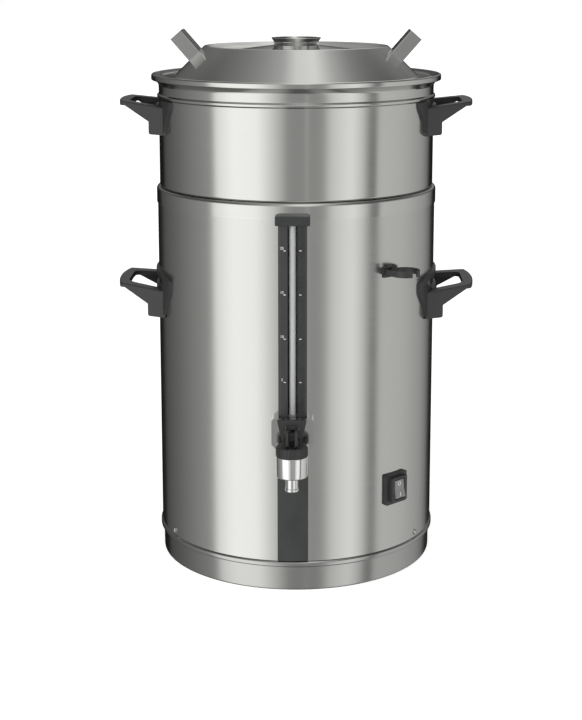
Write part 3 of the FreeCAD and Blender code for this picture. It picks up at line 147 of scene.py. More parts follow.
def turned(name: str, outline: Sequence[Flat], steps: int = 144,
           centre: Flat = (0.0, 0.0)) -> bpy.types.Object:
    """Turn a closed outline about an upright axis.

    Args:
        name: The piece's name.
        outline: Radius and height of each point in millimetres.
        steps: Segments around the axis.
        centre: Where the axis stands, in millimetres.

    Returns:
        The finished object, its place in its mesh.
    """
    clear_selection()
    bpy.ops.mesh.primitive_plane_add(size=MM)
    piece = name_piece(bpy.context.object, name)
    bpy.ops.object.mode_set(mode="EDIT")
    bpy.ops.mesh.select_all(action="SELECT")
    bpy.ops.mesh.merge(type="CENTER")
    here = Vector(((centre[0] + outline[0][0]) * MM, centre[1] * MM, outline[0][1] * MM))
    bpy.ops.transform.translate(value=here)
    for radius, height in list(outline[1:]) + [outline[0]]:
        there = Vector(((centre[0] + radius) * MM, centre[1] * MM, height * MM))
        bpy.ops.mesh.extrude_vertices_move(TRANSFORM_OT_translate={"value": there - here})
        here = there
    bpy.ops.mesh.select_all(action="SELECT")
    axis_place = (centre[0] * MM, centre[1] * MM, 0.0)
    bpy.ops.mesh.spin(steps=steps, angle=2.0 * math.pi, center=axis_place, axis=(0.0, 0.0, 1.0))
    bpy.ops.mesh.select_all(action="SELECT")
    bpy.ops.mesh.remove_doubles(threshold=MM * 0.002)
    bpy.ops.mesh.normals_make_consistent(inside=False)
    bpy.ops.object.mode_set(mode="OBJECT")
    bpy.ops.object.shade_smooth_by_angle(angle=math.radians(35.0))
    return piece


def turned_sheet(name: str, path: Sequence[Corner], wall: float, steps: int = 144,
                 centre: Flat = (0.0, 0.0)) -> bpy.types.Object:
    """Turn a sheet of even thickness.

    Args:
        name: The piece's name.
        path: One skin's corners; the other lies to the left of them.
        wall: The sheet's thickness in millimetres.
        steps: Segments around the axis.
        centre: Where the axis stands, in millimetres.

    Returns:
        The finished object.
    """
    skin = rounded(path, closed=False)
    other = rounded(second_skin(path, wall), closed=False)
    return turned(name, skin + other[::-1], steps, centre)


def joined(pieces: Sequence[bpy.types.Object], name: str) -> bpy.types.Object:
    """Join several objects into the first and name the result."""
    clear_selection()
    for piece in pieces:
        piece.select_set(True)
    bpy.context.view_layer.objects.active = pieces[0]
    bpy.ops.object.join()
    return name_piece(bpy.context.object, name)


def settled(piece: bpy.types.Object) -> bpy.types.Object:
    """Move an object's place, turn and size into its mesh."""
    clear_selection()
    piece.select_set(True)
    bpy.context.view_layer.objects.active = piece
    bpy.ops.object.transform_apply(location=True, rotation=True, scale=True)
    return piece


def fitted(piece: bpy.types.Object, body: str, finish: bpy.types.Material,
           nodes: Sequence[str] = ()) -> bpy.types.Object:
    """Give a finished piece its body, material and the nodes it stands for.

    Args:
        piece: The new piece.
        body: The CAD body it moves with.
        finish: Its material.
        nodes: The CAD nodes it replaces.

    Returns:
        The same piece.
    """
    piece.data.materials.clear()
    piece.data.materials.append(finish)
    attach(piece, body)
    if nodes:
        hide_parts(*nodes)
    log.info("made %s on %s", piece.name, body)
    return piece


def repaint(finish: bpy.types.Material, *nodes: str) -> None:
    """Give CAD nodes that keep their shape a finer material."""
    for name in nodes:
        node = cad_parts[name]
        if not node.material_slots:
            node.data.materials.append(finish)
        for slot in node.material_slots:
            slot.material = finish
        log.info("dressed %s", name)


# Finishes


class Shader:
    """One material under construction, with short ways to add and join its nodes."""

    def __init__(self, name: str) -> None:
        """Start a material with its Principled shader."""
        self.material = bpy.data.materials.new(name)
        self.material.use_nodes = True
        self.tree = self.material.node_tree
        self.skin = self.tree.nodes["Principled BSDF"]

    def add(self, kind: str, **settings: object) -> bpy.types.Node:
        """Add a node of a kind, with its settings and its named input values."""
        node = self.tree.nodes.new("ShaderNode" + kind)
        for key, value in settings.items():
            if hasattr(node, key):
                setattr(node, key, value)
            else:
                node.inputs[key.replace("_", " ")].default_value = value
        return node

    def join(self, out: bpy.types.NodeSocket, into: bpy.types.NodeSocket) -> None:
        """Link one socket to another."""
        self.tree.links.new(out, into)

    def calc(self, operation: str, *terms: object) -> bpy.types.NodeSocket:
        """Add a Math node on numbers or sockets and return its output."""
        node = self.add("Math", operation=operation)
        for index, term in enumerate(terms):
            if isinstance(term, bpy.types.NodeSocket):
                self.join(term, node.inputs[index])
            else:
                node.inputs[index].default_value = term
        return node.outputs[0]

    def place(self) -> bpy.types.NodeSocket:
        """The surface point in the object's own metres."""
        return self.add("TexCoord").outputs["Object"]

    def noise(self, vector: bpy.types.NodeSocket, scale: float, detail: float = 3.0) -> bpy.types.NodeSocket:
        """Add noise on a vector and return its value."""
        node = self.add("TexNoise", Scale=scale, Detail=detail)
        self.join(vector, node.inputs["Vector"])
        return node.outputs["Fac"]

    def spread(self, value: bpy.types.NodeSocket, low: float, high: float,
               start: float = 0.3, stop: float = 0.7) -> bpy.types.NodeSocket:
        """Map a value's middle range onto low to high."""
        node = self.add("MapRange")
        self.join(value, node.inputs["Value"])
        for key, number in (("From Min", start), ("From Max", stop), ("To Min", low), ("To Max", high)):
            node.inputs[key].default_value = number
        return node.outputs["Result"]

    def tint(self, value: bpy.types.NodeSocket, dark: Colour, light: Colour) -> None:
        """Set the base colour between two colours by a value."""
        ramp = self.add("ValToRGB")
        ramp.color_ramp.elements[0].position = 0.3
        ramp.color_ramp.elements[1].position = 0.7
        ramp.color_ramp.elements[0].color = (*dark, 1.0)
        ramp.color_ramp.elements[1].color = (*light, 1.0)
        self.join(value, ramp.inputs["Fac"])
        self.join(ramp.outputs["Color"], self.skin.inputs["Base Color"])

    def emboss(self, height: bpy.types.NodeSocket, strength: float, depth_mm: float) -> None:
        """Add a bump from a height value."""
        bump = self.add("Bump", Strength=strength, Distance=depth_mm * MM)
        self.join(height, bump.inputs["Height"])
        self.join(bump.outputs["Normal"], self.skin.inputs["Normal"])

    def fixed(self, **values: object) -> None:
        """Set the Principled shader's own sockets."""
        for key, value in values.items():
            self.skin.inputs[key.replace("_", " ")].default_value = value


def scaled(colour: Colour, factor: float) -> Colour:
    """A colour made darker or lighter."""
    return (min(colour[0] * factor, 1.0), min(colour[1] * factor, 1.0), min(colour[2] * factor, 1.0))


@dataclass(frozen=True)
class Steel:
    """Stainless sheet with a directional grain."""

    name: str
    colour: Colour = (0.63, 0.63, 0.615)
    roughness: float = 0.3
    anisotropy: float = 0.6
    grain: Grain = Grain.AROUND
    grain_per_m: float = 2600.0
    contrast: float = 0.02
    relief: float = 0.02

    def material(self) -> bpy.types.Material:
        """Build the material."""
        shader = Shader(self.name)
        parts = shader.add("SeparateXYZ")
        shader.join(shader.place(), parts.inputs[0])
        x, y, z = parts.outputs
        lines = shader.add("CombineXYZ")
        if self.grain is Grain.AROUND:
            squares = shader.calc("MULTIPLY", x, x), shader.calc("MULTIPLY", y, y)
            radius = shader.calc("SQRT", shader.calc("ADD", *squares))
            shader.join(shader.calc("MULTIPLY", radius, self.grain_per_m), lines.inputs[0])
            shader.join(shader.calc("MULTIPLY", z, self.grain_per_m), lines.inputs[1])
            shader.join(shader.calc("MULTIPLY", shader.calc("ADD", x, y), 7.0), lines.inputs[2])
        else:
            shader.join(shader.calc("MULTIPLY", x, self.grain_per_m), lines.inputs[0])
            shader.join(shader.calc("MULTIPLY", y, self.grain_per_m), lines.inputs[1])
            shader.join(shader.calc("MULTIPLY", z, 9.0), lines.inputs[2])
        streaks = shader.noise(lines.outputs[0], 1.0, 5.0)
        cloud = shader.noise(shader.place(), 9.0, 2.0)
        shader.tint(streaks, scaled(self.colour, 1.0 - self.contrast),
                    scaled(self.colour, 1.0 + self.contrast))
        rough = shader.calc("ADD", shader.spread(streaks, self.roughness - 0.02, self.roughness + 0.02),
                            shader.spread(cloud, -0.015, 0.015))
        shader.join(rough, shader.skin.inputs["Roughness"])
        shader.emboss(streaks, self.relief, 0.05)
        shader.fixed(Metallic=1.0, Anisotropic=self.anisotropy)
        tangent = shader.add("Tangent", direction_type="RADIAL", axis="Z")
        shader.join(tangent.outputs[0], shader.skin.inputs["Tangent"])
        return shader.material


@dataclass(frozen=True)
class Metal:
    """Plain metal: chrome plate, brass, aluminium or dark element tube."""

    name: str
    colour: Colour
    roughness: float
    mottle: float = 0.03
    relief: float = 0.02

    def material(self) -> bpy.types.Material:
        """Build the material."""
        shader = Shader(self.name)
        spots = shader.noise(shader.place(), 220.0, 4.0)
        shader.tint(spots, scaled(self.colour, 1.0 - self.mottle), scaled(self.colour, 1.0 + self.mottle))
        rough = shader.spread(spots, self.roughness * 0.8, self.roughness * 1.2)
        shader.join(rough, shader.skin.inputs["Roughness"])
        shader.emboss(spots, self.relief, 0.02)
        shader.fixed(Metallic=1.0)
        return shader.material


@dataclass(frozen=True)
class Moulded:
    """Moulded plastic or rubber with a fine spark-eroded grain."""

    name: str
    colour: Colour
    roughness: float = 0.45
    grain_per_m: float = 1500.0
    relief: float = 0.12
    coat: float = 0.0

    def material(self) -> bpy.types.Material:
        """Build the material."""
        shader = Shader(self.name)
        place = shader.place()
        pores = shader.noise(place, self.grain_per_m, 2.0)
        cloud = shader.noise(place, 35.0, 3.0)
        shader.tint(cloud, scaled(self.colour, 0.88), scaled(self.colour, 1.12))
        rough = shader.calc("ADD", shader.spread(pores, self.roughness - 0.04, self.roughness + 0.04),
                            shader.spread(cloud, -0.03, 0.03))
        shader.join(rough, shader.skin.inputs["Roughness"])
        shader.emboss(pores, self.relief, 0.06)
        shader.fixed(Coat_Weight=self.coat, Coat_Roughness=0.12)
        return shader.material


@dataclass(frozen=True)
class ClearTube:
    """Drawn glass, with faint draw lines along it."""

    name: str
    colour: Colour = (0.84, 0.85, 0.85)
    clearness: float = 0.45

    def material(self) -> bpy.types.Material:
        """Build the material."""
        shader = Shader(self.name)
        mapping = shader.add("Mapping")
        mapping.inputs["Scale"].default_value = (900.0, 900.0, 4.0)
        shader.join(shader.place(), mapping.inputs["Vector"])
        draw = shader.noise(mapping.outputs[0], 1.0, 2.0)
        shader.tint(draw, scaled(self.colour, 0.97), self.colour)
        shader.emboss(draw, 0.05, 0.01)
        shader.fixed(Roughness=0.05, IOR=1.49, Transmission_Weight=self.clearness)
        return shader.material


@dataclass(frozen=True)
class Wool:
    """Pressed mineral wool."""

    name: str
    colour: Colour = (0.7, 0.62, 0.42)

    def material(self) -> bpy.types.Material:
        """Build the material."""
        shader = Shader(self.name)
        mapping = shader.add("Mapping")
        mapping.inputs["Scale"].default_value = (1.0, 1.0, 4.0)
        shader.join(shader.place(), mapping.inputs["Vector"])
        fibres = shader.noise(mapping.outputs[0], 260.0, 8.0)
        shader.tint(fibres, scaled(self.colour, 0.6), scaled(self.colour, 1.2))
        shader.emboss(fibres, 0.7, 1.2)
        shader.fixed(Roughness=0.95)
        return shader.material


class Palette:
    """Every finish on the urn, built once."""

    def __init__(self) -> None:
        """Build the materials."""
        self.jacket = Steel("jacket_steel", roughness=0.16, anisotropy=0.5).material()
        self.base = Steel("base_steel", colour=(0.5, 0.5, 0.49), roughness=0.16, anisotropy=0.5).material()
        self.vessel = Steel("vessel_steel", colour=(0.64, 0.64, 0.625), roughness=0.13,
                            anisotropy=0.45).material()
        self.lid = Steel("lid_steel", colour=(0.6, 0.6, 0.59), roughness=0.09, anisotropy=0.3).material()
        self.inside = Steel("inside_steel", colour=(0.66, 0.66, 0.645), roughness=0.34,
                            anisotropy=0.3).material()
        self.plate = Steel("plate_steel", colour=(0.62, 0.62, 0.61), roughness=0.12, anisotropy=0.2,
                           grain=Grain.UPRIGHT, grain_per_m=1100.0).material()
        self.chrome = Metal("chrome_plate", (0.84, 0.84, 0.835), 0.06).material()
        self.bright = Metal("bright_steel", (0.7, 0.7, 0.69), 0.2, mottle=0.05).material()
        self.brass = Metal("turned_brass", (0.62, 0.47, 0.22), 0.28, mottle=0.1).material()
        self.aluminium = Metal("milled_aluminium", (0.66, 0.67, 0.68), 0.36, mottle=0.08,
                               relief=0.1).material()
        self.element = Metal("heat_darkened_tube", (0.16, 0.14, 0.12), 0.42, mottle=0.35,
                             relief=0.1).material()
        self.black = Moulded("black_moulding", (0.03, 0.03, 0.031), 0.42).material()
        self.gauge = Moulded("gauge_moulding", (0.034, 0.035, 0.036), 0.3, relief=0.05).material()
        self.strip = Moulded("strip_moulding", (0.036, 0.041, 0.038), 0.48).material()
        self.rocker = Moulded("rocker_moulding", (0.2, 0.2, 0.2), 0.3, relief=0.05, coat=0.3).material()
        self.white = Moulded("white_moulding", (0.78, 0.78, 0.75), 0.5).material()
        self.print = Moulded("white_print", (0.86, 0.86, 0.84), 0.55, relief=0.05).material()
        self.rubber = Moulded("seal_rubber", (0.2, 0.2, 0.19), 0.7, relief=0.3).material()
        self.glass = ClearTube("drawn_glass").material()
        self.wool = Wool("mineral_wool").material()


# Sub-assemblies


@dataclass
class Container:
    """The insulated container: base ring, jacket, rolled top ring, tank and what is under it."""

    base_r: float = 181.8
    floor_r: float = 164.0
    bead_low: float = 31.5
    bead_high: float = 40.0
    bead_r: float = 186.0
    jacket_r: float = 184.0
    jacket_top: float = 495.0
    sheet: float = 1.2
    ring_low: float = 478.5
    ring_top: float = 499.0
    tank_r: float = 171.0
    skin_gap: float = 0.02

    def base_ring(self) -> bpy.types.Object:
        """Model the base ring with its floor flange and bead."""
        upstand = self.jacket_r - self.sheet - 0.15
        path = [
            (self.floor_r, 0.0, 0.0),
            (self.base_r, 0.0, 2.5),
            (self.base_r + 0.4, self.bead_low, 0.8),
            (self.bead_r, self.bead_low + 1.6, 1.6),
            (self.bead_r, self.bead_high - 1.6, 1.6),
            (upstand, self.bead_high, 0.0),
            (upstand, self.bead_high + 18.0, 0.0),
        ]
        return turned_sheet("base_ring_shell", path, self.sheet)

    def jacket(self) -> bpy.types.Object:
        """Model the outer jacket."""
        path = [(self.jacket_r, self.bead_high + 0.15, 0.0), (self.jacket_r, self.jacket_top, 0.0)]
        return turned_sheet("jacket_shell", path, self.sheet, steps=192)

    def top_ring(self) -> bpy.types.Object:
        """Model the rolled ring that joins jacket and tank."""
        outer = self.jacket_r + self.sheet + self.skin_gap
        path = [(outer, self.ring_low, 0.0), (outer, self.ring_top, 4.0), (self.tank_r, self.ring_top, 0.0)]
        return turned_sheet("top_ring_shell", path, self.sheet, steps=192)

    def build(self, palette: Palette) -> None:
        """Build and dress the container."""
        fitted(self.base_ring(), "urn", palette.base, ["base_ring"])
        fitted(self.jacket(), "urn", palette.jacket, ["outer_jacket"])
        fitted(self.top_ring(), "urn", palette.vessel, ["top_ring"])
        repaint(palette.inside, "inner_tank", "base_plate", "outlet_elbow", "element_clamp")
        repaint(palette.bright, "base_plate_screws", "jacket_screws", "inlet_screws", "lower_handle_screws")
        repaint(palette.aluminium, "heat_spreader", "thermostat")
        repaint(palette.element, "heating_element")
        repaint(palette.brass, "clamp_nut", "tap_lock_nut")
        repaint(palette.wool, "insulation")
        repaint(palette.white, "terminal_block")
        repaint(palette.black, "thermal_cutout", "mains_inlet", "plug_clip")
        repaint(palette.strip, "front_strip")


@dataclass
class Gauge:
    """The level gauge with its printed scale."""

    front_y: float = -199.0
    side_fall: float = 1.5
    slot_half: float = 6.0
    half_width: float = 17.75
    tube_y: float = -192.3
    tube_r: float = 4.5
    tube_bore_r: float = 3.0
    tube_low: float = 230.0
    tube_high: float = 481.0
    mark_heights: tuple[float, ...] = (278.3, 333.2, 388.6, 443.4)
    mark_values: tuple[int, ...] = (5, 10, 15, 20)
    mark_across: float = 9.6
    mark_width: float = 2.8
    mark_height: float = 0.9
    number_across: float = 12.9
    number_rise: float = 2.9
    number_size: float = 4.6
    print_depth: float = 0.06

    def face_y(self, across: float) -> float:
        """Where the cover's sloping front is at a distance from the middle."""
        share = (abs(across) - self.slot_half) / (self.half_width - self.slot_half)
        return self.front_y + self.side_fall * share

    def slope(self, across: float) -> float:
        """The turn about +Z that lays a mark on the sloping front."""
        turn = math.atan2(self.side_fall, self.half_width - self.slot_half)
        return turn if across > 0.0 else -turn

    def tick(self, across: float, height: float, index: int) -> bpy.types.Object:
        """Model one printed tick as a thin bar with rounded ends."""
        clear_selection()
        place = (across * MM, (self.face_y(across) - self.print_depth / 2.0) * MM, height * MM)
        bpy.ops.mesh.primitive_cube_add(size=1.0, location=place, rotation=(0.0, 0.0, self.slope(across)))
        bar = name_piece(bpy.context.object, f"tick_{index}")
        bar.scale = (self.mark_width * MM, self.print_depth * MM, self.mark_height * MM)
        settled(bar)
        bevel = bar.modifiers.new("rounding", "BEVEL")
        bevel.width = self.print_depth * 0.4 * MM
        bevel.segments = 2
        bpy.ops.object.modifier_apply(modifier="rounding")
        return bar

    def number(self, value: int, height: float) -> bpy.types.Object:
        """Model one printed number beside its tick."""
        clear_selection()
        across = -self.number_across
        depth = self.face_y(across) - self.print_depth / 2.0
        place = (across * MM, depth * MM, (height + self.number_rise) * MM)
        bpy.ops.object.text_add(location=place, rotation=(math.radians(90.0), 0.0, self.slope(across)))
        text = bpy.context.object
        text.data.body = str(value)
        text.data.size = self.number_size * MM
        text.data.extrude = self.print_depth * 0.5 * MM
        text.data.align_x = "CENTER"
        text.data.align_y = "CENTER"
        text.data.resolution_u = 4
        bpy.ops.object.convert(target="MESH")
        return settled(name_piece(bpy.context.object, f"scale_number_{value}"))

    def tube(self) -> bpy.types.Object:
        """Model the gauge glass with fire-polished ends."""
        outline = [
            (self.tube_bore_r, self.tube_low, 0.5),
            (self.tube_r, self.tube_low, 0.5),
            (self.tube_r, self.tube_high, 0.5),
            (self.tube_bore_r, self.tube_high, 0.5),
        ]
        return turned("gauge_glass", rounded(outline, closed=True, steps=3), 48, (0.0, self.tube_y))

    def build(self, palette: Palette) -> None:
        """Build and dress the gauge."""
        repaint(palette.gauge, "gauge_cover", "gauge_cap")
        repaint(palette.rubber, "gauge_seals")
        fitted(self.tube(), "urn", palette.glass, ["gauge_tube"])
        marks = []
        for index, height in enumerate(self.mark_heights):
            marks.append(self.tick(-self.mark_across, height, 2 * index))
            marks.append(self.tick(self.mark_across, height, 2 * index + 1))
            marks.append(self.number(self.mark_values[index], height))
        fitted(joined(marks, "gauge_scale"), "urn", palette.print)


@dataclass
class Tap:
    """The lever tap: chrome cup and nozzle, ribbed bonnet, stem and lever."""

    y: float = -232.0
    cup_r: float = 19.6
    bore_r: float = 16.6
    cup_low: float = 169.0
    cup_high: float = 195.5
    nozzle_r: float = 7.6
    nozzle_bore: float = 5.4
    nozzle_low: float = 150.0
    lip_r: float = 8.3
    lip_height: float = 3.6
    shank_r: float = 9.0
    shank_z: float = 183.0
    shank_end: float = -158.0
    shank_bore: float = 6.0
    cup_floor: float = 4.0
    seat_rise: float = 1.6
    seat_lip: float = 1.4
    collar_r: float = 12.0
    collar_end: float = -207.5

    def cup(self) -> bpy.types.Object:
        """Model the cup with its nozzle as one turned piece."""
        floor_z = self.cup_low + self.cup_floor
        outline = [
            (self.nozzle_bore, self.nozzle_low, 0.4),
            (self.lip_r, self.nozzle_low, 1.2),
            (self.lip_r, self.nozzle_low + self.lip_height, 1.0),
            (self.nozzle_r, self.nozzle_low + self.lip_height + 0.6, 0.4),
            (self.nozzle_r, self.cup_low, 0.8),
            (self.cup_r, self.cup_low, 2.2),
            (self.cup_r, self.cup_high, 0.5),
            (self.bore_r, self.cup_high, 0.3),
            (self.bore_r, floor_z, 0.5),
            (self.nozzle_bore + self.seat_lip, floor_z, 0.2),
            (self.nozzle_bore + self.seat_lip, floor_z + self.seat_rise, 0.3),
            (self.nozzle_bore, floor_z + self.seat_rise, 0.3),
        ]
        return turned("tap_cup", rounded(outline, closed=True, steps=5), 72, (0.0, self.y))

    def shank(self) -> bpy.types.Object:
        """Model the shank and its collar, lying along Y."""
        start = -(self.y + self.bore_r + 1.2)
        outline = [
            (self.shank_bore, -self.shank_end, 0.3),
            (self.shank_r, -self.shank_end, 0.8),
            (self.shank_r, -self.collar_end, 0.2),
            (self.collar_r, -self.collar_end, 0.8),
            (self.collar_r, start, 0.2),
            (self.shank_bore, start, 0.2),
        ]
        shank = turned("tap_shank", rounded(outline, closed=True, steps=4), 48)
        shank.rotation_euler = (math.radians(90.0), 0.0, 0.0)
        shank.location = (0.0, 0.0, self.shank_z * MM)
        return settled(shank)

    def build(self, palette: Palette) -> None:
        """Build and dress the tap."""
        body = joined([self.cup(), self.shank()], "tap_cup_and_shank")
        fitted(body, "urn", palette.chrome, ["tap_body"])
        repaint(palette.plate, "tap_block")
        repaint(palette.black, "tap_bonnet", "tap_lever", "tap_stem")
        repaint(palette.rubber, "tap_gasket", "tap_seat_cup")
        repaint(palette.element, "lever_pin")
        repaint(palette.bright, "tap_spring")


@dataclass
class Switch:
    """The mains switch with its marked rocker."""

    azimuth: float = 45.0
    z: float = 120.8
    pivot_y: float = -191.1
    tilt: float = 9.0
    face_y: float = -193.7
    mark_rise: float = 7.0
    mark_r: float = 2.2
    mark_line: float = 0.7

    def placed(self, mark: bpy.types.Object) -> bpy.types.Object:
        """Bring a mark drawn at the front to the tilted rocker."""
        settled(mark)
        pivot = Vector((0.0, self.pivot_y * MM, self.z * MM))
        tilt = Matrix.Rotation(math.radians(-self.tilt), 4, "X")
        about_pivot = Matrix.Translation(pivot) @ tilt @ Matrix.Translation(-pivot)
        mark.matrix_world = Matrix.Rotation(math.radians(self.azimuth), 4, "Z") @ about_pivot
        return settled(mark)

    def off_mark(self) -> bpy.types.Object:
        """Model the ring of the off mark."""
        clear_selection()
        place = (0.0, self.face_y * MM, (self.z + self.mark_rise) * MM)
        bpy.ops.mesh.primitive_torus_add(major_segments=32, minor_segments=6, major_radius=self.mark_r * MM,
                                         minor_radius=self.mark_line / 2.0 * MM, location=place,
                                         rotation=(math.radians(90.0), 0.0, 0.0))
        return self.placed(name_piece(bpy.context.object, "off_ring"))

    def on_mark(self) -> bpy.types.Object:
        """Model the bar of the on mark."""
        clear_selection()
        place = (0.0, self.face_y * MM, (self.z - self.mark_rise) * MM)
        bpy.ops.mesh.primitive_cube_add(size=1.0, location=place)
        bar = name_piece(bpy.context.object, "on_bar")
        bar.scale = (self.mark_line * MM, self.mark_line * MM, self.mark_r * 2.0 * MM)
        return self.placed(bar)

    def build(self, palette: Palette) -> None:
        """Build and dress the switch."""
        repaint(palette.black, "switch_frame")
        repaint(palette.rocker, "switch_rocker")
        marks = joined([self.off_mark(), self.on_mark()], "rocker_marks")
        fitted(marks, "rocker", palette.print)


@dataclass
class Vessel:
    """The brewing vessel with its handles, basket and mixing tube."""

    wall_r: float = 180.9
    sheet: float = 1.0
    foot_z: float = 499.02
    spigot_r: float = 169.4
    spigot_z: float = 488.0
    floor_z: float = 474.0
    spout_r: float = 11.0
    spout_z: float = 462.0
    bead_low: float = 614.8
    bead_high: float = 620.2
    bead_r: float = 183.0
    flare_z: float = 632.0
    rim_r: float = 190.4
    rim_low: float = 637.8
    rim_high: float = 646.0
    mouth_r: float = 186.8

    def shell(self) -> bpy.types.Object:
        """Model the vessel's wall, floor, spigot, spout and rolled rim."""
        inner = self.wall_r - self.sheet
        outline = [
            (self.spout_r, self.spout_z, 0.0),
            (self.spout_r, self.floor_z, 2.0),
            (self.spigot_r, self.spigot_z, 5.0),
            (self.spigot_r, self.foot_z, 0.4),
            (self.wall_r, self.foot_z, 4.0),
            (self.wall_r, self.bead_low - 0.6, 0.8),
            (self.bead_r, self.bead_low + 1.2, 1.2),
            (self.bead_r, self.bead_high - 1.2, 1.2),
            (self.wall_r, self.bead_high + 0.6, 0.8),
            (self.wall_r, self.flare_z, 5.0),
            (self.rim_r - 5.0, self.rim_low + 0.9, 1.0),
            (self.rim_r, self.rim_low, 1.5),
            (self.rim_r, self.rim_high, 2.2),
            (self.mouth_r, self.rim_high, 1.5),
            (inner, self.flare_z, 5.0),
            (inner, self.foot_z + self.sheet, 3.0),
            (self.spigot_r - self.sheet, self.foot_z + self.sheet, 1.4),
            (self.spigot_r - self.sheet, self.spigot_z + self.sheet, 4.0),
            (self.spout_r - self.sheet, self.floor_z + self.sheet, 3.0),
            (self.spout_r - self.sheet, self.spout_z, 0.0),
        ]
        return turned("vessel_shell", rounded(outline, closed=True), 192)

    def basket(self) -> bpy.types.Object:
        """Model the brew basket that hangs in the vessel."""
        path = [
            (181.9, 636.7, 0.0),
            (178.6, 641.6, 1.5),
            (166.5, 641.6, 2.0),
            (166.5, 520.0, 3.0),
            (156.0, 520.0, 0.0),
        ]
        return turned_sheet("basket_shell", path, 0.8)

    def build(self, palette: Palette) -> None:
        """Build and dress the vessel and the basket."""
        fitted(self.shell(), "vessel", palette.vessel, ["brew_vessel"])
        fitted(self.basket(), "basket", palette.inside, ["brew_basket"])
        repaint(palette.inside, "basket_grid", "mixing_tube")
        repaint(palette.bright, "upper_handle_screws")


@dataclass
class Handles:
    """The four moulded handles."""

    nodes: tuple[str, ...] = (
        "lower_handle_right", "lower_handle_left", "upper_handle_right", "upper_handle_left",
    )

    def build(self, palette: Palette) -> None:
        """Dress the handles."""
        repaint(palette.black, *self.nodes)


@dataclass
class Lid:
    """The conical lid with its collar, grips and spray plate."""

    sheet: float = 1.0
    flange_r: float = 178.0
    flange_z: float = 642.7
    lip_z: float = 644.4
    cone_base_r: float = 160.4
    cone_top_r: float = 119.8
    cone_top_z: float = 682.6
    dish_r: float = 112.0
    dish_z: float = 677.4
    plateau_r: float = 77.0
    plateau_z: float = 676.7
    neck_r: float = 29.6
    neck_z: float = 682.0
    mouth_r: float = 32.8
    mouth_z: float = 691.5
    flare_z: float = 687.0

    def shell(self) -> bpy.types.Object:
        """Model the lid's flange, cone and dished top."""
        path = [
            (self.flange_r, self.lip_z, 0.0),
            (self.flange_r - 1.2, self.flange_z, 1.0),
            (self.cone_base_r, self.flange_z, 2.0),
            (self.cone_top_r, self.cone_top_z, 3.0),
            (self.dish_r, self.dish_z, 3.5),
            (self.plateau_r, self.plateau_z, 12.0),
            (self.neck_r, self.neck_z, 0.0),
        ]
        return turned_sheet("lid_cone", path, self.sheet, steps=192)

    def collar(self) -> bpy.types.Object:
        """Model the water inlet collar."""
        path = [
            (self.neck_r, self.neck_z - 4.0, 0.0),
            (self.neck_r, self.flare_z, 3.0),
            (self.mouth_r, self.mouth_z, 0.0),
        ]
        return turned_sheet("water_collar", path, self.sheet, steps=96)

    def build(self, palette: Palette) -> None:
        """Build and dress the lid."""
        fitted(self.shell(), "lid", palette.lid, ["lid_shell"])
        fitted(self.collar(), "lid", palette.lid, ["inlet_collar"])
        repaint(palette.plate, "lid_grip_right", "lid_grip_left")
        repaint(palette.inside, "spray_plate")


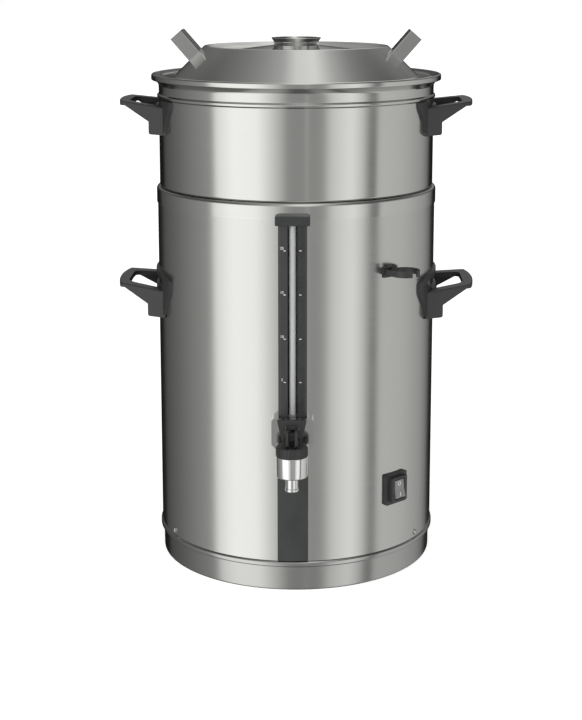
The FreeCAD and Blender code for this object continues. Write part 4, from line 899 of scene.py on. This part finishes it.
@dataclass
class Studio:
    """Camera, pale floor and soft studio light."""

    azimuth: float = 1.3
    distance: float = 2.05056
    height: float = 0.78025
    tilt: float = 10.35
    focal_px: float = 1549.87
    long_side_px: float = 720.0
    shift_x: float = -0.0072
    shift_y: float = -0.15
    floor_size: float = 60.0
    floor_glow: float = 0.62
    sun_power: float = 0.9
    bands: tuple[tuple[float, float], ...] = (
        (-180.0, 0.01), (-148.0, 0.01), (-140.0, 0.09), (-114.0, 0.18), (-74.0, 0.38), (-71.0, 0.6),
        (-68.0, 1.05), (-52.0, 1.35), (-31.0, 1.3), (-10.0, 0.56), (-6.0, 0.36), (8.5, 0.34),
        (10.0, 0.62), (11.5, 0.34), (23.0, 0.38), (30.0, 0.8), (48.0, 1.08), (58.0, 0.74), (65.0, 0.24),
        (70.0, 0.22), (73.0, 0.68), (100.0, 0.6), (130.0, 0.4), (144.0, 0.2), (152.0, 0.01), (180.0, 0.01),
    )
    overhead: tuple[tuple[float, float], ...] = (
        (-1.0, 0.07), (-0.6, 0.1), (-0.5, 0.22), (-0.3, 0.38), (-0.12, 0.56), (0.0, 0.95), (0.16, 1.05),
        (0.3, 0.6), (0.42, 0.34), (0.56, 0.12), (0.66, 0.08), (1.0, 0.07),
    )

    def camera(self) -> None:
        """Stand the camera where the photograph was taken."""
        turn = math.radians(self.azimuth)
        clear_selection()
        bpy.ops.object.camera_add(
            location=(self.distance * math.sin(turn), -self.distance * math.cos(turn), self.height),
            rotation=(math.radians(90.0 - self.tilt), 0.0, turn))
        camera = bpy.context.object
        camera.data.sensor_width = 36.0
        camera.data.lens = self.focal_px * camera.data.sensor_width / self.long_side_px
        camera.data.shift_x = self.shift_x
        camera.data.shift_y = self.shift_y
        camera.data.clip_end = 100.0
        bpy.context.scene.camera = camera

    def floor(self) -> None:
        """Lay a plain pale floor that the steel doesn't mirror."""
        clear_selection()
        bpy.ops.mesh.primitive_plane_add(size=self.floor_size)
        floor = name_piece(bpy.context.object, "studio_floor")
        shader = Shader("pale_floor")
        shader.fixed(Base_Color=(0.95, 0.95, 0.95, 1.0), Roughness=0.9, Emission_Color=(1.0, 1.0, 1.0, 1.0),
                     Emission_Strength=self.floor_glow)
        floor.data.materials.append(shader.material)
        floor.visible_glossy = False

    def daylight(self) -> None:
        """Add the wide soft light from above."""
        clear_selection()
        bpy.ops.object.light_add(type="SUN", rotation=(math.radians(32.0), math.radians(-18.0), 0.0))
        sun = bpy.context.object
        sun.data.energy = self.sun_power
        sun.data.angle = math.radians(75.0)
        sun.visible_glossy = False

    def panels(self, tree: bpy.types.NodeTree, value: bpy.types.NodeSocket, levels: Sequence[Flat],
               widest: float, reach: float) -> bpy.types.NodeSocket:
        """Map a direction's value onto panels of light.

        Args:
            tree: The world's nodes.
            value: The direction's angle or share.
            levels: Each panel edge's place and brightness.
            widest: The largest place in the levels.
            reach: The value that place stands for.

        Returns:
            The light's colour.
        """
        share = tree.nodes.new("ShaderNodeMapRange")
        share.inputs["From Min"].default_value = -reach
        share.inputs["From Max"].default_value = reach
        tree.links.new(value, share.inputs["Value"])
        ramp = tree.nodes.new("ShaderNodeValToRGB")
        tree.links.new(share.outputs["Result"], ramp.inputs["Fac"])
        stops = ramp.color_ramp.elements
        while len(stops) < len(levels):
            stops.new(0.5)
        for stop, (edge, level) in zip(stops, levels):
            stop.position = (edge + widest) / (2.0 * widest)
            stop.color = (level, level, level * 0.985, 1.0)
        return ramp.outputs["Color"]

    def surround(self) -> None:
        """Stand bright and dark panels around and above the urn, as bands in the world's light."""
        world = bpy.data.worlds.new("studio")
        bpy.context.scene.world = world
        world.use_nodes = True
        tree = world.node_tree
        tree.nodes.clear()

        def add(kind: str) -> bpy.types.Node:
            """Add one node."""
            return tree.nodes.new("ShaderNode" + kind)

        place = add("TexCoord")
        split = add("SeparateXYZ")
        tree.links.new(place.outputs["Generated"], split.inputs[0])
        back = add("Math")
        back.operation = "MULTIPLY"
        back.inputs[1].default_value = -1.0
        tree.links.new(split.outputs["Y"], back.inputs[0])
        angle = add("Math")
        angle.operation = "ARCTAN2"
        tree.links.new(split.outputs["X"], angle.inputs[0])
        tree.links.new(back.outputs[0], angle.inputs[1])
        around = self.panels(tree, angle.outputs[0], self.bands, 180.0, math.pi)
        above = self.panels(tree, split.outputs["X"], self.overhead, 1.0, 1.0)
        rise = add("MapRange")
        rise.inputs["From Min"].default_value = 0.02
        rise.inputs["From Max"].default_value = 0.6
        tree.links.new(split.outputs["Z"], rise.inputs["Value"])
        mix = add("MixRGB")
        tree.links.new(rise.outputs["Result"], mix.inputs["Fac"])
        tree.links.new(around, mix.inputs["Color1"])
        tree.links.new(above, mix.inputs["Color2"])
        lit = add("Background")
        fall = add("MapRange")
        fall.inputs["From Min"].default_value = -0.95
        fall.inputs["From Max"].default_value = -0.6
        fall.inputs["To Min"].default_value = 0.3
        tree.links.new(split.outputs["Z"], fall.inputs["Value"])
        tree.links.new(fall.outputs["Result"], lit.inputs["Strength"])
        tree.links.new(mix.outputs[0], lit.inputs["Color"])
        backdrop = add("Background")
        backdrop.inputs["Color"].default_value = (1.0, 1.0, 1.0, 1.0)
        seen = add("LightPath")
        choice = add("MixShader")
        tree.links.new(seen.outputs["Is Camera Ray"], choice.inputs[0])
        tree.links.new(lit.outputs[0], choice.inputs[1])
        tree.links.new(backdrop.outputs[0], choice.inputs[2])
        out = add("OutputWorld")
        tree.links.new(choice.outputs[0], out.inputs["Surface"])

    def build(self) -> None:
        """Set up the whole studio."""
        self.camera()
        self.floor()
        self.daylight()
        self.surround()
        bpy.context.scene.view_settings.view_transform = "Standard"
        log.info("studio ready")


def main() -> None:
    """Build the studio and every sub-assembly."""
    logging.basicConfig(level=logging.INFO, format="%(message)s")
    Studio().build()
    palette = Palette()
    for part in (Container(), Gauge(), Tap(), Switch(), Vessel(), Handles(), Lid()):
        part.build(palette)
        log.info("finished %s", type(part).__name__)


if __name__ == "__main__":
    main()
